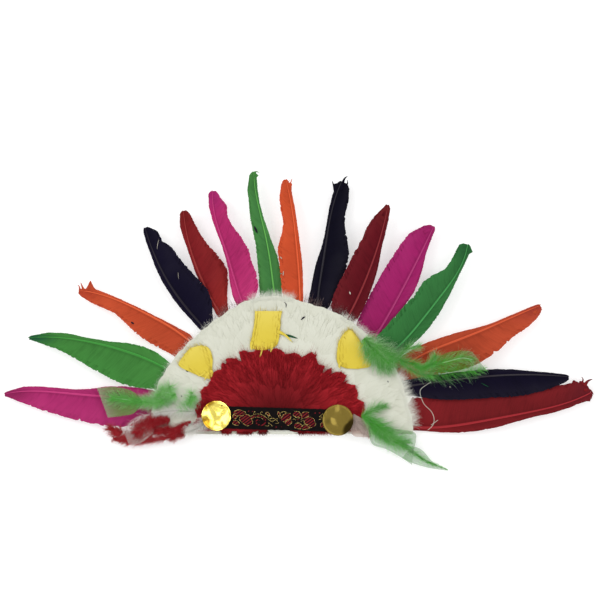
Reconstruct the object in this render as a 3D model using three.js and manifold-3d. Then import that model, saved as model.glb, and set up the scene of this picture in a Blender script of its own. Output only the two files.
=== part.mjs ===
// A feathered headdress that lies flat, face up: a half-round backing card, fifteen long dyed quill
// feathers glued along its arc, a white and a red fan of short feathers on top, a woven ribbon with
// a gold disc at each end, and loose yellow, green, red and white feathers. Millimetres, +Z up.
// The origin is under the middle of the ribbon, on the flat back of the card.

import * as THREE from 'three'
import { mergeVertices } from 'three/addons/utils/BufferGeometryUtils.js'
import Module from 'manifold-3d'

const wasm = await Module()
wasm.setup()

// Driving dimensions, in millimetres and degrees.
const gap = 0.3
const cardRadius = 127
const cardThickness = 2
const fanCentre = { x: 7, y: -16 }

const fanRadius = 135
const fanRimThickness = 1.4
const fanPleatDepth = 0.7
const fanBlades = 26
const fanNotch = 0.012
const fanUnderRoom = 18
const fanSlope = 2.7
const bladeColumns = 3

const redCentre = { x: 1, y: -12 }
const redRadius = 88
const redThickness = 1.6
const redPleatDepth = 0.8
const redBlades = 15
const redNotch = 0.07

const ribbonLength = 122
const ribbonWidth = 22.5
const ribbonThickness = 1.2
const ribbonTurn = -1.7
const ribbonBevel = 0.3

const discThickness = 0.7
const discRimHeight = 0.6
const discRimWidth = 1.1
const discRimSlope = 0.6
const discEdgeRound = 0.3
const discHoleRadius = 0.8
const discHoleInset = 3.2
const discHoleAngle = 60

const vaneThickness = 0.8
const vaneDroop = 1.2
const quillHeight = 2.2
const quillWidth = 2.6
const quillTuck = 24
const quillTaper = 0.65
const layerStep = 3.5
const yellowThickness = 0.9
const yellowCrown = 0.3
const yellowRib = { half: 0.5, height: 0.25 }

const plumeThickness = 0.8
const plumeStep = 12
const plumeFewestSteps = 5
const plumeRib = { half: 0.4, height: 0.3 }
const plumeLobes = 7
const plumeLobeDepth = 0.16
// How the plumes follow the long feathers under them: these feathers' usual reach, arch and tip.
const underPlumes = { reach: 140, arch: 8, tip: 9 }

const narrowestVane = 0.8
const lockThickness = 1.1
const lockRib = { half: 0.2, height: 0.1 }
const lockTaper = 0.8
const lockNarrowest = 0.4

// Levels of the stack, each worked out from what lies under it.
const quillBed = cardThickness + gap
const fanFloor = quillBed + layerStep + quillHeight + 2 * gap
const fanTop = fanFloor + fanRimThickness
const onFan = fanTop + gap
const redTop = onFan + redThickness
const onRed = redTop + gap
const ribbonTop = onRed + ribbonThickness
const onRibbon = ribbonTop + gap

// The rim of each fan: its reach, as a share of the fan's radius, at an angle from the right.
const whiteRim = [
  { angle: -2, reach: 0.97 },
  { angle: 15, reach: 0.955 },
  { angle: 30, reach: 0.965 },
  { angle: 48, reach: 0.965 },
  { angle: 60, reach: 0.98 },
  { angle: 80, reach: 0.995 },
  { angle: 92, reach: 1.03 },
  { angle: 105, reach: 1.035 },
  { angle: 118, reach: 1 },
  { angle: 130, reach: 0.985 },
  { angle: 145, reach: 0.995 },
  { angle: 162, reach: 1.015 },
  { angle: 182, reach: 0.98 },
]
const redRim = [
  { angle: -3, reach: 1.0 },
  { angle: 17, reach: 1.05 },
  { angle: 30, reach: 1.03 },
  { angle: 45, reach: 0.99 },
  { angle: 56, reach: 0.92 },
  { angle: 66, reach: 0.99 },
  { angle: 75, reach: 0.92 },
  { angle: 95, reach: 0.97 },
  { angle: 125, reach: 1.03 },
  { angle: 140, reach: 1.01 },
  { angle: 165, reach: 1.0 },
  { angle: 183, reach: 0.98 },
]

// A vane's width is given at these shares of its length, and its sway at the quarters. Past the
// last one the vane closes to its tip.
const stations = [0, 0.14, 0.3, 0.46, 0.62, 0.78, 0.9, 0.97]
const lastStation = stations[stations.length - 1]
const quarters = [0, 0.25, 0.5, 0.75, 1]

// The long feathers, from the left end round to the right. at is the angle on the card's arc where
// the quill comes out, aim the way it points, layer which of the two layers it lies in, arch and
// tip how far its middle and its tip stand up. sway is a share of the length, and left and right
// are shares of the width, seen from the root.
const longFeathers = [
  {
    name: 'quill_feather_01_magenta', colour: 0xad2f6c, at: 165, aim: 178.2, length: 150,
    width: 38, layer: 0, arch: 6, tip: 5, sway: [-0.008, -0.018, -0.03],
    left: [0.6, 0.76, 0.77, 0.71, 0.6, 0.46, 0.24, 0.09],
    right: [0.22, 0.28, 0.26, 0.13, 0.1, 0.12, 0.14, 0.07],
  },
  {
    name: 'quill_feather_02_green', colour: 0x3f7d39, at: 151, aim: 167.4, length: 141,
    width: 40, layer: 1, arch: 7, tip: 8, sway: [-0.055, -0.07, -0.055],
    left: [0.55, 0.76, 0.8, 0.7, 0.52, 0.31, 0.15, 0.07],
    right: [0.18, 0.27, 0.2, 0.09, 0.1, 0.12, 0.11, 0.06],
  },
  {
    name: 'quill_feather_03_orange', colour: 0xbe512d, at: 135.5, aim: 156, length: 120,
    width: 27, layer: 0, arch: 7, tip: 9, sway: [-0.045, -0.06, -0.055],
    left: [0.78, 0.85, 0.89, 0.76, 0.5, 0.44, 0.33, 0.18],
    right: [0.2, 0.13, 0.06, 0.05, 0.06, 0.1, 0.17, 0.1],
  },
  {
    name: 'quill_feather_04_navy', colour: 0x161127, at: 127, aim: 120.4, length: 115,
    width: 31, layer: 1, arch: 9, tip: 6, sway: [0.05, 0.068, 0.05],
    left: [0.14, 0.13, 0.15, 0.14, 0.13, 0.09, 0.1, 0.08],
    right: [0.4, 0.84, 0.89, 0.81, 0.7, 0.55, 0.33, 0.2],
  },
  {
    name: 'quill_feather_05_red', colour: 0x7a1f23, at: 117.7, aim: 110, length: 111,
    width: 29, layer: 0, arch: 5, tip: 11, sway: [0.05, 0.066, 0.05],
    left: [0.14, 0.1, 0.07, 0.09, 0.08, 0.14, 0.19, 0.13],
    right: [0.26, 0.58, 0.92, 0.9, 0.66, 0.43, 0.29, 0.19],
  },
  {
    name: 'quill_feather_06_magenta', colour: 0xad2f6c, at: 107.4, aim: 104.9, length: 119,
    width: 29, layer: 1, arch: 9, tip: 7, sway: [0.02, 0.03, 0.042],
    left: [0.22, 0.24, 0.1, 0.06, 0.07, 0.12, 0.19, 0.17],
    right: [0.38, 0.76, 0.74, 0.76, 0.53, 0.41, 0.31, 0.16],
  },
  {
    name: 'quill_feather_07_green', colour: 0x3f7d39, at: 93.7, aim: 99.4, length: 130,
    width: 23, layer: 0, arch: 9, tip: 11, sway: [-0.008, -0.005, 0.012],
    left: [0.65, 0.61, 0.54, 0.48, 0.48, 0.36, 0.35, 0.22],
    right: [0.3, 0.36, 0.36, 0.2, 0.1, 0.07, 0.07, 0.07],
  },
  {
    name: 'quill_feather_08_orange', colour: 0xbe512d, at: 83.2, aim: 96.7, length: 122,
    width: 22, layer: 1, arch: 8, tip: 8, sway: [-0.018, -0.025, -0.022],
    left: [0.7, 0.82, 0.84, 0.85, 0.48, 0.51, 0.41, 0.23],
    right: [0.14, 0.16, 0.18, 0.15, 0.13, 0.13, 0.12, 0.1],
  },
  {
    name: 'quill_feather_09_navy', colour: 0x161127, at: 75.7, aim: 78.6, length: 125,
    width: 30, layer: 0, arch: 8, tip: 8, sway: [0.018, 0.03, 0.034],
    left: [0.31, 0.26, 0.22, 0.1, 0.07, 0.1, 0.14, 0.12],
    right: [0.43, 0.6, 0.8, 0.8, 0.56, 0.45, 0.42, 0.3],
  },
  {
    name: 'quill_feather_10_red', colour: 0x7a1f23, at: 61.3, aim: 70.6, length: 118,
    width: 30, layer: 1, arch: 8, tip: 9, sway: [-0.03, -0.04, -0.032],
    left: [0.67, 0.78, 0.75, 0.7, 0.58, 0.52, 0.33, 0.12],
    right: [0.31, 0.32, 0.28, 0.23, 0.13, 0.11, 0.11, 0.1],
  },
  {
    name: 'quill_feather_11_magenta', colour: 0xad2f6c, at: 46.8, aim: 62.3, length: 124,
    width: 36, layer: 0, arch: 8, tip: 10, sway: [-0.012, -0.015, -0.012],
    left: [0.64, 0.71, 0.72, 0.72, 0.67, 0.6, 0.47, 0.25],
    right: [0.08, 0.13, 0.24, 0.31, 0.24, 0.11, 0.08, 0.07],
  },
  {
    name: 'quill_feather_12_green', colour: 0x3f7d39, at: 37.3, aim: 54.9, length: 133,
    width: 32, layer: 1, arch: 8, tip: 8, sway: [-0.045, -0.06, -0.064],
    left: [0.66, 0.7, 0.72, 0.68, 0.66, 0.34, 0.29, 0.24],
    right: [0.25, 0.28, 0.31, 0.28, 0.17, 0.08, 0.13, 0.16],
  },
  {
    name: 'quill_feather_13_orange', colour: 0xbe512d, at: 29.5, aim: 24.1, length: 153,
    width: 36, layer: 0, arch: 8, tip: 9, sway: [0.022, 0.012, 0.006],
    left: [0.25, 0.28, 0.22, 0.17, 0.07, 0.06, 0.06, 0.06],
    right: [0.5, 0.61, 0.78, 0.83, 0.71, 0.47, 0.39, 0.22],
  },
  {
    name: 'quill_feather_14_navy', colour: 0x161127, at: 21, aim: 3.1, length: 160,
    width: 29, layer: 1, arch: 7, tip: 6, sway: [0.02, 0.034, 0.03],
    left: [0.21, 0.24, 0.24, 0.23, 0.19, 0.1, 0.09, 0.07],
    right: [0.34, 0.57, 0.71, 0.75, 0.76, 0.66, 0.41, 0.21],
  },
  {
    name: 'quill_feather_15_red', colour: 0x7a1f23, at: 2.7, aim: 11.6, length: 177,
    width: 40, layer: 0, arch: 7, tip: 6, sway: [-0.035, -0.041, -0.04],
    left: [0.72, 0.82, 0.83, 0.76, 0.66, 0.52, 0.4, 0.36],
    right: [0.07, 0.15, 0.2, 0.2, 0.12, 0.14, 0.15, 0.15],
  },
]

// Split barbs that stand out from a long feather's tip. along is a share of its length and across
// a share of its width, to the left.
const tipLocks = [
  { feather: 3, along: 0.9, across: -0.1, aim: 104, length: 25, width: 7 },
  { feather: 7, along: 0.93, across: 0.12, aim: 45, length: 12, width: 4 },
  { feather: 8, along: 0.9, across: -0.04, aim: 74, length: 15, width: 4.5 },
  { feather: 9, along: 0.9, across: 0.02, aim: 101, length: 14, width: 5.5 },
  { feather: 9, along: 0.88, across: -0.14, aim: 70, length: 19, width: 9 },
  { feather: 12, along: 0.96, across: -0.08, aim: -38, length: 8, width: 3.5 },
  { feather: 15, along: 0.86, across: 0.24, aim: 22, length: 27, width: 10 },
  { feather: 15, along: 0.88, across: 0, aim: -2, length: 21, width: 6 },
  { feather: 15, along: 0.9, across: 0.28, aim: 80, length: 11, width: 4 },
]

// The short yellow feathers that lie on the white fan. reach is a share of the fan's radius.
const yellowFeathers = [
  {
    name: 'yellow_feather_left', at: 143, reach: 0.712, aim: 122, length: 33, width: 28,
    left: [0.12, 0.2, 0.36, 0.5, 0.62, 0.66, 0.6, 0.44],
    right: [0.12, 0.24, 0.34, 0.42, 0.46, 0.42, 0.36, 0.3],
  },
  {
    name: 'yellow_feather_centre', at: 102.8, reach: 0.672, aim: 88, length: 34, width: 28,
    left: [0.3, 0.5, 0.5, 0.46, 0.42, 0.38, 0.34, 0.32],
    right: [0.24, 0.42, 0.5, 0.52, 0.55, 0.58, 0.6, 0.6],
  },
  {
    name: 'yellow_feather_right', at: 42.5, reach: 0.735, aim: 110, length: 38, width: 26,
    left: [0.46, 0.62, 0.66, 0.62, 0.54, 0.42, 0.28, 0.16],
    right: [0.34, 0.32, 0.28, 0.24, 0.2, 0.14, 0.1, 0.08],
  },
]

// The fluffy plumes and tufts. lift is how far the plume lies above the red fan's top, puff how
// far its middle swells, and sink how far its outer end hangs down again.
const plumes = [
  {
    name: 'green_plume_upper_right', colour: 0x51944a, at: 49.5, reach: 0.935, aim: -15.6,
    length: 127, width: 36, lift: 0, puff: 3.2, sink: 3, sway: [-0.087, -0.1, 0],
    left: [0.08, 0.14, 0.39, 0.58, 0.31, 0.39, 0.25, 0.08],
    right: [0.22, 0.72, 0.56, 0.36, 0.25, 0.22, 0.14, 0.08],
  },
  {
    name: 'green_plume_lower_right', colour: 0x51944a, at: 13, reach: 0.59, aim: -32,
    length: 101, width: 30, lift: 1.9, puff: 2.6, sink: 11, sway: [-0.05, -0.06, -0.06],
    left: [0.4, 0.73, 0.77, 0.54, 0.28, 0.13, 0.08, 0.05],
    right: [0.3, 0.5, 0.45, 0.3, 0.22, 0.18, 0.13, 0.07],
  },
  {
    name: 'green_plume_left', colour: 0x51944a, at: 164.5, reach: 0.83, aim: 184.5,
    length: 76, width: 30, lift: -1.9, puff: 1.8, sink: 2, sway: [0, -0.01, -0.02],
    left: [0.3, 0.3, 0.27, 0.2, 0.2, 0.3, 0.33, 0.2],
    right: [0.3, 0.3, 0.3, 0.4, 0.5, 0.62, 0.75, 0.8],
  },
  {
    name: 'red_side_tuft', colour: 0x82212a, at: 176.5, reach: 0.72, aim: 182.5,
    length: 81, width: 24, lift: -1.9, puff: 0.7, sink: 4, sway: [0, 0, 0],
    left: [0.45, 0.58, 0.55, 0.62, 0.72, 0.66, 0.48, 0.24],
    right: [0.25, 0.2, 0.2, 0.22, 0.26, 0.26, 0.2, 0.12],
  },
  {
    name: 'white_side_tuft', colour: 0xdcdccb, at: 172.5, reach: 0.64, aim: 189,
    length: 66, width: 26, lift: 2.3, puff: 1.6, sink: 3, sway: [0.02, 0.02, 0],
    left: [0.34, 0.48, 0.46, 0.36, 0.3, 0.3, 0.24, 0.12],
    right: [0.26, 0.44, 0.42, 0.34, 0.34, 0.36, 0.28, 0.14],
  },
  {
    name: 'pale_side_feather', colour: 0xc9b3a6, at: 12.5, reach: 0.53, aim: -50,
    length: 27, width: 17, lift: 0, puff: 0.4, sink: 0, sway: [0.03, 0.05, 0.03],
    left: [0.3, 0.42, 0.5, 0.52, 0.5, 0.42, 0.3, 0.16],
    right: [0.24, 0.36, 0.44, 0.48, 0.46, 0.38, 0.28, 0.14],
  },
]

// The gold discs at the ribbon's ends: tilt lifts the outer side of a disc.
const discs = [
  { name: 'gold_disc_left', side: -1, radius: 15, drop: 2.3, tilt: 12, hole: true },
  { name: 'gold_disc_right', side: 1, radius: 15.7, drop: -2.2, tilt: 4, hole: false },
]

const radians = THREE.MathUtils.degToRad

// A point at an angle and a distance from a centre.
function polar(centre, angle, distance) {
  const turn = radians(angle)
  return new THREE.Vector2(
    centre.x + distance * Math.cos(turn),
    centre.y + distance * Math.sin(turn),
  )
}

// Smooth value of a short table at a share.
function tableAt(keys, values, share) {
  const held = THREE.MathUtils.clamp(share, keys[0], keys[keys.length - 1])
  return new THREE.CubicInterpolant(keys, values, 1).evaluate(held)[0]
}

// Builds a mesh skin from rings of points: each ring joins the next, and both ends are closed.
function skinOfRings(rings, endFaces) {
  const ringSize = rings[0].length
  const index = []
  for (let i = 0; i + 1 < rings.length; i++) {
    for (let j = 0; j < ringSize; j++) {
      const a = i * ringSize + j
      const b = i * ringSize + ((j + 1) % ringSize)
      index.push(a, b + ringSize, b, a, a + ringSize, b + ringSize)
    }
  }
  const lastStart = (rings.length - 1) * ringSize
  for (const [a, b, c] of endFaces[0]) index.push(a, c, b)
  for (const [a, b, c] of endFaces[1]) index.push(lastStart + a, lastStart + b, lastStart + c)
  const geometry = new THREE.BufferGeometry().setFromPoints(rings.flat())
  geometry.setIndex(index)
  return geometry
}

// A closed feather blade. spine gives the middle line's place on the plan at a share of its length,
// level the underside's height there, and widths the reach to each side. crown swells the middle,
// droop lets the edges hang, and ridge is the quill that stands on the vane.
function bladeGeometry({ spine, level, widths, shares, thickness, crown, droop, ridge }) {
  const topPlaces = [-1, -0.5, 0, 0.5, 1]
  const bottomPlaces = [1, 0, -1]
  const rings = []
  const sections = []
  for (const share of shares) {
    const here = spine(share)
    const ahead = spine(share + 0.01).sub(spine(share - 0.01)).normalize()
    const leftward = new THREE.Vector2(-ahead.y, ahead.x)
    const reach = widths(share)
    const floor = level(share)
    const quill = ridge(share)
    const section = []
    const place = (across, rise) => section.push(new THREE.Vector2(across, rise))
    const acrossAt = (u) => (u < 0 ? u * reach.right : u * reach.left)
    const hang = (u) => -droop * Math.min(1, (Math.abs(acrossAt(u)) / reach.full) ** 2)
    for (const u of topPlaces) {
      const rise = hang(u) + thickness + crown * (1 - u * u) * reach.fullness
      if (u === 0) {
        place(-quill.half, hang(0) + thickness + crown * reach.fullness)
        place(-quill.half / 2, rise + quill.height)
        place(quill.half / 2, rise + quill.height)
        place(quill.half, hang(0) + thickness + crown * reach.fullness)
      } else {
        place(acrossAt(u), rise)
      }
    }
    for (const u of bottomPlaces) place(acrossAt(u), hang(u))
    sections.push(section)
    rings.push(section.map((point) => new THREE.Vector3(
      here.x + leftward.x * point.x,
      here.y + leftward.y * point.x,
      floor + point.y,
    )))
  }
  // Each end face is cut into triangles from its own section, listed anticlockwise.
  const endFaces = [sections[0], sections[sections.length - 1]].map((section) => {
    const round = section.map((point, i) => ({ point, i })).reverse()
    const faces = THREE.ShapeUtils.triangulateShape(round.map((entry) => entry.point), [])
    return faces.map((face) => face.map((corner) => round[corner].i))
  })
  return skinOfRings(rings, endFaces)
}

// Turns a geometry into a manifold solid, and back again.
function toSolid(geometry) {
  const bare = geometry.clone()
  bare.deleteAttribute('normal')
  bare.deleteAttribute('uv')
  const merged = mergeVertices(bare, 1e-4)
  return new wasm.Manifold(new wasm.Mesh({
    numProp: 3,
    vertProperties: new Float32Array(merged.attributes.position.array),
    triVerts: new Uint32Array(merged.index.array),
  }))
}

function toGeometry(solid) {
  const mesh = solid.getMesh()
  const geometry = new THREE.BufferGeometry()
  geometry.setAttribute('position', new THREE.BufferAttribute(mesh.vertProperties, mesh.numProp))
  geometry.setIndex(new THREE.BufferAttribute(mesh.triVerts, 1))
  return geometry
}

const headdress = new THREE.Group()

function addPiece(name, geometry, finish) {
  geometry.computeVertexNormals()
  const piece = new THREE.Mesh(geometry, new THREE.MeshStandardMaterial(finish))
  piece.name = name
  headdress.add(piece)
  return piece
}

// How far a long feather stands up at a share of its length: it leaves the card level.
function featherRise(share, arch, tip) {
  const out = THREE.MathUtils.clamp(share, 0, 1)
  return arch * 16 * out ** 2 * (1 - out) ** 2 + tip * out ** 2
}

// The spine of a feather on the plan: a straight line from root to tip with a sideways sway.
function spineOf(root, aim, length, sway) {
  const ahead = polar({ x: 0, y: 0 }, aim, 1)
  const leftward = new THREE.Vector2(-ahead.y, ahead.x)
  const values = [0, ...sway, 0]
  return (share) => root.clone()
    .addScaledVector(ahead, length * share)
    .addScaledVector(leftward, length * tableAt(quarters, values, share))
}

// The reach of a vane to each side. It closes at the tip and narrows to the bare quill at the root.
function widthsOf(row, narrowest, tuckShare) {
  return (share) => {
    const left = Math.max(0, (1 - share) / (1 - lastStation))
    const closing = share > lastStation ? Math.sqrt(left) : 1
    const opening = tuckShare ? THREE.MathUtils.clamp(1 + share / tuckShare * 2.5, 0, 1) : 1
    const vane = (shares) => {
      const reach = row.width * tableAt(stations, shares, share) * closing * opening
      return Math.max(narrowest, reach)
    }
    const fullness = THREE.MathUtils.clamp(closing * opening, 0, 1)
    return { left: vane(row.left), right: vane(row.right), full: row.width, fullness }
  }
}

// Backing card: half a disc with a straight lower edge, flat on its back.
function addCard() {
  const shape = new THREE.Shape()
  shape.absarc(fanCentre.x, fanCentre.y, cardRadius, 0, Math.PI)
  const geometry = new THREE.ExtrudeGeometry(shape, {
    depth: cardThickness, bevelEnabled: false, curveSegments: 30,
  })
  addPiece('backing_card', geometry, { color: 0xd9d9cc, roughness: 0.9, metalness: 0 })
}

// A fan of overlapping blades: a half-round sheet whose top is pleated and whose rim is lobed.
// underside gives the height of the bottom at a share of the radius.
function fanGeometry({ centre, radius, rim, blades, notch, pleat, top, underside, rings }) {
  const columns = blades * bladeColumns
  const first = rim[0].angle
  const last = rim[rim.length - 1].angle
  const angles = rim.map((row) => row.angle)
  const reaches = rim.map((row) => row.reach)
  const strips = []
  for (let i = 0; i <= columns; i++) {
    const angle = first + (last - first) * i / columns
    const middle = 1 - Math.abs(2 * (i % bladeColumns) / bladeColumns - 1)
    const reach = radius * tableAt(angles, reaches, angle) * (1 - notch * (1 - middle))
    const dip = pleat * (1 - middle)
    const upper = rings.map((share) => {
      const at = polar(centre, angle, reach * share)
      return new THREE.Vector3(at.x, at.y, top - dip * Math.min(1, share * 2))
    })
    const lower = rings.map((share) => {
      const at = polar(centre, angle, reach * share)
      return new THREE.Vector3(at.x, at.y, underside(share))
    })
    strips.push([...upper.reverse(), ...lower])
  }
  const half = rings.length
  const faces = []
  for (let k = 0; k + 1 < half; k++) {
    const upperIn = half - 1 - k
    const lowerIn = half + k
    faces.push([upperIn, upperIn - 1, lowerIn + 1], [upperIn, lowerIn + 1, lowerIn])
  }
  return skinOfRings(strips, [faces, faces])
}

// White fan: thick where it lies on the card, thin where its rim passes over the quills.
function addWhiteFan() {
  const quillEnd = (fanRadius - quillTuck) / fanRadius
  const slopeStart = quillEnd - fanUnderRoom / fanRadius
  const slopeEnd = quillEnd - fanSlope / fanRadius
  const geometry = fanGeometry({
    centre: fanCentre, radius: fanRadius, rim: whiteRim, blades: fanBlades,
    notch: fanNotch, pleat: fanPleatDepth, top: fanTop,
    underside: (share) => (share > slopeStart ? fanFloor : quillBed),
    rings: [0.1, slopeStart, slopeEnd, 1],
  })
  addPiece('white_feather_fan', geometry, { color: 0xe4e4d6, roughness: 0.95, metalness: 0 })
}

// Red fan: a smaller, more ragged fan on top of the white one.
function addRedFan() {
  const geometry = fanGeometry({
    centre: redCentre, radius: redRadius, rim: redRim, blades: redBlades,
    notch: redNotch, pleat: redPleatDepth, top: redTop,
    underside: () => onFan,
    rings: [0.15, 0.55, 0.85, 1],
  })
  addPiece('red_feather_fan', geometry, { color: 0x79191f, roughness: 0.95, metalness: 0 })
}

// One small pointed blade, used for split barbs.
function lockGeometry(root, height, { aim, length, width }) {
  const spine = spineOf(root, aim, length, [0.03, 0.04, 0.03])
  const half = width / 2
  return bladeGeometry({
    spine,
    level: () => height,
    widths: (share) => {
      const reach = Math.max(lockNarrowest, half * (1 - share * lockTaper))
      return { left: reach, right: reach, full: width, fullness: 1 }
    },
    shares: [0, 0.35, 0.7, 1],
    thickness: lockThickness,
    crown: 0,
    droop: 0,
    ridge: () => lockRib,
  })
}

function addLongFeather(row, number) {
  const root = polar(fanCentre, row.at, fanRadius)
  const spine = spineOf(root, row.aim, row.length, row.sway)
  const tuckShare = quillTuck / row.length
  const narrowest = quillWidth / 2 + gap
  const reach = widthsOf(row, narrowest, tuckShare)
  const layerRise = (share) => {
    const out = THREE.MathUtils.smoothstep(share, -tuckShare, -tuckShare * 0.3)
    return row.layer * layerStep * out
  }
  const level = (share) => (
    quillBed + layerRise(share) + featherRise(share, row.arch, row.tip)
  )
  const shares = [-tuckShare, -tuckShare * 0.6, -tuckShare * 0.3, 0]
  const steps = 9
  for (let i = 1; i <= steps; i++) shares.push(lastStation * i / steps)
  shares.push(0.99, 1)
  let geometry = bladeGeometry({
    spine,
    level,
    widths: reach,
    shares,
    thickness: vaneThickness,
    crown: 0,
    droop: vaneDroop,
    ridge: (share) => {
      const thin = 1 - quillTaper * THREE.MathUtils.clamp(share, 0, 1)
      return { half: quillWidth / 2 * thin, height: (quillHeight - vaneThickness) * thin }
    },
  })
  const locks = tipLocks.filter((lock) => lock.feather === number)
  if (locks.length) {
    let solid = toSolid(geometry)
    for (const lock of locks) {
      const ahead = polar({ x: 0, y: 0 }, row.aim, 1)
      const leftward = new THREE.Vector2(-ahead.y, ahead.x)
      const start = spine(lock.along).addScaledVector(leftward, lock.across * row.width)
      const height = level(lock.along) - vaneThickness / 4
      solid = solid.add(toSolid(lockGeometry(start, height, lock)))
    }
    geometry = toGeometry(solid)
  }
  addPiece(row.name, geometry, { color: row.colour, roughness: 0.8, metalness: 0 })
}

function addYellowFeather(row) {
  const root = polar(fanCentre, row.at, fanRadius * row.reach)
  const spine = spineOf(root, row.aim, row.length, [0, 0, 0])
  const geometry = bladeGeometry({
    spine,
    level: () => onFan,
    widths: (share) => {
      const reach = widthsOf(row, narrowestVane, 0)(Math.min(share, lastStation))
      return { ...reach, fullness: 1 }
    },
    shares: [...stations.slice(0, -1), 1],
    thickness: yellowThickness,
    crown: yellowCrown,
    droop: 0,
    ridge: () => yellowRib,
  })
  addPiece(row.name, geometry, { color: 0xe4ce57, roughness: 0.9, metalness: 0 })
}

// A plume or tuft: a lobed, swollen blade that lies over the fans and over the long feathers.
function addPlume(row) {
  const root = polar(fanCentre, row.at, fanRadius * row.reach)
  const spine = spineOf(root, row.aim, row.length, row.sway)
  const overFeathers = (share) => {
    const point = spine(share)
    const out = Math.hypot(point.x - fanCentre.x, point.y - fanCentre.y) - fanRadius
    return featherRise(out / underPlumes.reach, underPlumes.arch, underPlumes.tip)
  }
  const reach = widthsOf(row, narrowestVane, 0)
  const lobe = (share) => (
    1 - plumeLobeDepth * Math.abs(Math.sin(share * Math.PI * plumeLobes))
  )
  const shares = []
  const steps = Math.round(row.length / plumeStep) + plumeFewestSteps
  for (let i = 0; i <= steps; i++) shares.push(lastStation * i / steps)
  shares.push(1)
  const geometry = bladeGeometry({
    spine,
    level: (share) => {
      const sunk = row.sink * THREE.MathUtils.smoothstep(share, 0.4, 1)
      return onRed + row.lift + overFeathers(share) - sunk
    },
    widths: (share) => {
      const plain = reach(share)
      return { ...plain, left: plain.left * lobe(share), right: plain.right * lobe(share) }
    },
    shares,
    thickness: plumeThickness,
    crown: row.puff,
    droop: 0,
    ridge: () => plumeRib,
  })
  addPiece(row.name, geometry, { color: row.colour, roughness: 0.95, metalness: 0 })
}

// The woven ribbon lies across the red fan, with its ends under the discs.
function addRibbon() {
  const wide = ribbonLength / 2 - ribbonBevel
  const high = ribbonWidth / 2 - ribbonBevel
  const shape = new THREE.Shape([
    new THREE.Vector2(-wide, -high),
    new THREE.Vector2(wide, -high),
    new THREE.Vector2(wide, high),
    new THREE.Vector2(-wide, high),
  ])
  const geometry = new THREE.ExtrudeGeometry(shape, {
    depth: ribbonThickness - 2 * ribbonBevel,
    bevelSize: ribbonBevel,
    bevelThickness: ribbonBevel,
    bevelSegments: 2,
  })
  const finish = { color: 0x2a1a1a, roughness: 0.75, metalness: 0 }
  const ribbon = addPiece('woven_ribbon', geometry, finish)
  ribbon.rotation.z = radians(ribbonTurn)
  ribbon.position.z = onRed + ribbonBevel
}

// A thin foil disc with a raised rim, leaned a little, and pierced near its edge where sewn.
function addDisc(row) {
  const discRadius = row.radius
  const rimInside = discRadius - discRimWidth
  const rimTop = discThickness + discRimHeight
  const profile = [
    new THREE.Vector2(0, 0),
    new THREE.Vector2(discRadius - discEdgeRound, 0),
    new THREE.Vector2(discRadius, discEdgeRound),
    new THREE.Vector2(discRadius - discEdgeRound / 2, rimTop),
    new THREE.Vector2(rimInside, rimTop),
    new THREE.Vector2(rimInside - discRimSlope, discThickness),
    new THREE.Vector2(0, discThickness),
  ]
  const lathe = new THREE.LatheGeometry(profile, 26)
  lathe.rotateX(Math.PI / 2)
  let geometry = lathe
  if (row.hole) {
    const pin = new THREE.CylinderGeometry(discHoleRadius, discHoleRadius, 6 * discThickness, 12)
    pin.rotateX(Math.PI / 2)
    const at = polar({ x: 0, y: 0 }, discHoleAngle, discRadius - discHoleInset)
    pin.translate(at.x, at.y, 0)
    geometry = toGeometry(toSolid(lathe).subtract(toSolid(pin)))
  }
  const disc = addPiece(row.name, geometry, { color: 0xc9a227, roughness: 0.18, metalness: 1 })
  disc.rotation.y = -row.side * radians(row.tilt)
  const lowEdge = discRadius * Math.sin(radians(row.tilt))
  disc.position.set(row.side * ribbonLength / 2, row.drop, onRibbon + lowEdge)
}

addCard()
longFeathers.forEach((row, i) => addLongFeather(row, i + 1))
addWhiteFan()
addRedFan()
yellowFeathers.forEach(addYellowFeather)
plumes.forEach(addPlume)
addRibbon()
discs.forEach(addDisc)

export default headdress
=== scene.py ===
# A feathered headdress lying flat, face up, seen from straight above.
# Long dyed feathers, white and red feather fans, fluffy green plumes, side tufts, a woven ribbon
# and two gold foil discs. Lengths in the tables are millimetres, meshes are built in metres.

import math

import bpy
import numpy as np
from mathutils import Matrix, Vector
from mathutils.bvhtree import BVHTree


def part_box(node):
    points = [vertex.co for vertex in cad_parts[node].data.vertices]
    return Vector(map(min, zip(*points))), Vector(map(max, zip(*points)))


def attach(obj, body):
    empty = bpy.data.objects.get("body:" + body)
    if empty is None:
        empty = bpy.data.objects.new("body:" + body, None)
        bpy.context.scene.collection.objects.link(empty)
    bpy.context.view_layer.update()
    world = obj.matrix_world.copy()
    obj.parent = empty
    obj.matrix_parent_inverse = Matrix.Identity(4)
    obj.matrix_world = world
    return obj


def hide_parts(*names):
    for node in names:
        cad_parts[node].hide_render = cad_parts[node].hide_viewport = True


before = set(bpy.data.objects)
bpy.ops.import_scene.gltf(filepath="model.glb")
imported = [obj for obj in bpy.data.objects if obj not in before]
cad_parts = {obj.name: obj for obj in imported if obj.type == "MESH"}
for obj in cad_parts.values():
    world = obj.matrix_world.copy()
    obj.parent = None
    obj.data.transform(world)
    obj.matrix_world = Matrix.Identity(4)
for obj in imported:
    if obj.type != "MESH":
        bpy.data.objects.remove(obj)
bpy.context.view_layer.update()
mm = 0.001

fanCentre = np.array([7.0, -16.0])
redCentre = np.array([1.0, -12.0])
fanRadius = 135.0


# Helpers for reading the frame

def fromPhoto(points):
    # The tables of points are in pixels of the reference frame, one to a millimetre
    return np.array([(x - 277.0, 418.0 - y) for x, y in points], float)


def treeOf(node):
    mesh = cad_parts[node].data
    mesh.calc_loop_triangles()
    corners = [v.co.copy() for v in mesh.vertices]
    return BVHTree.FromPolygons(corners, [tuple(t.vertices) for t in mesh.loop_triangles])


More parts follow.
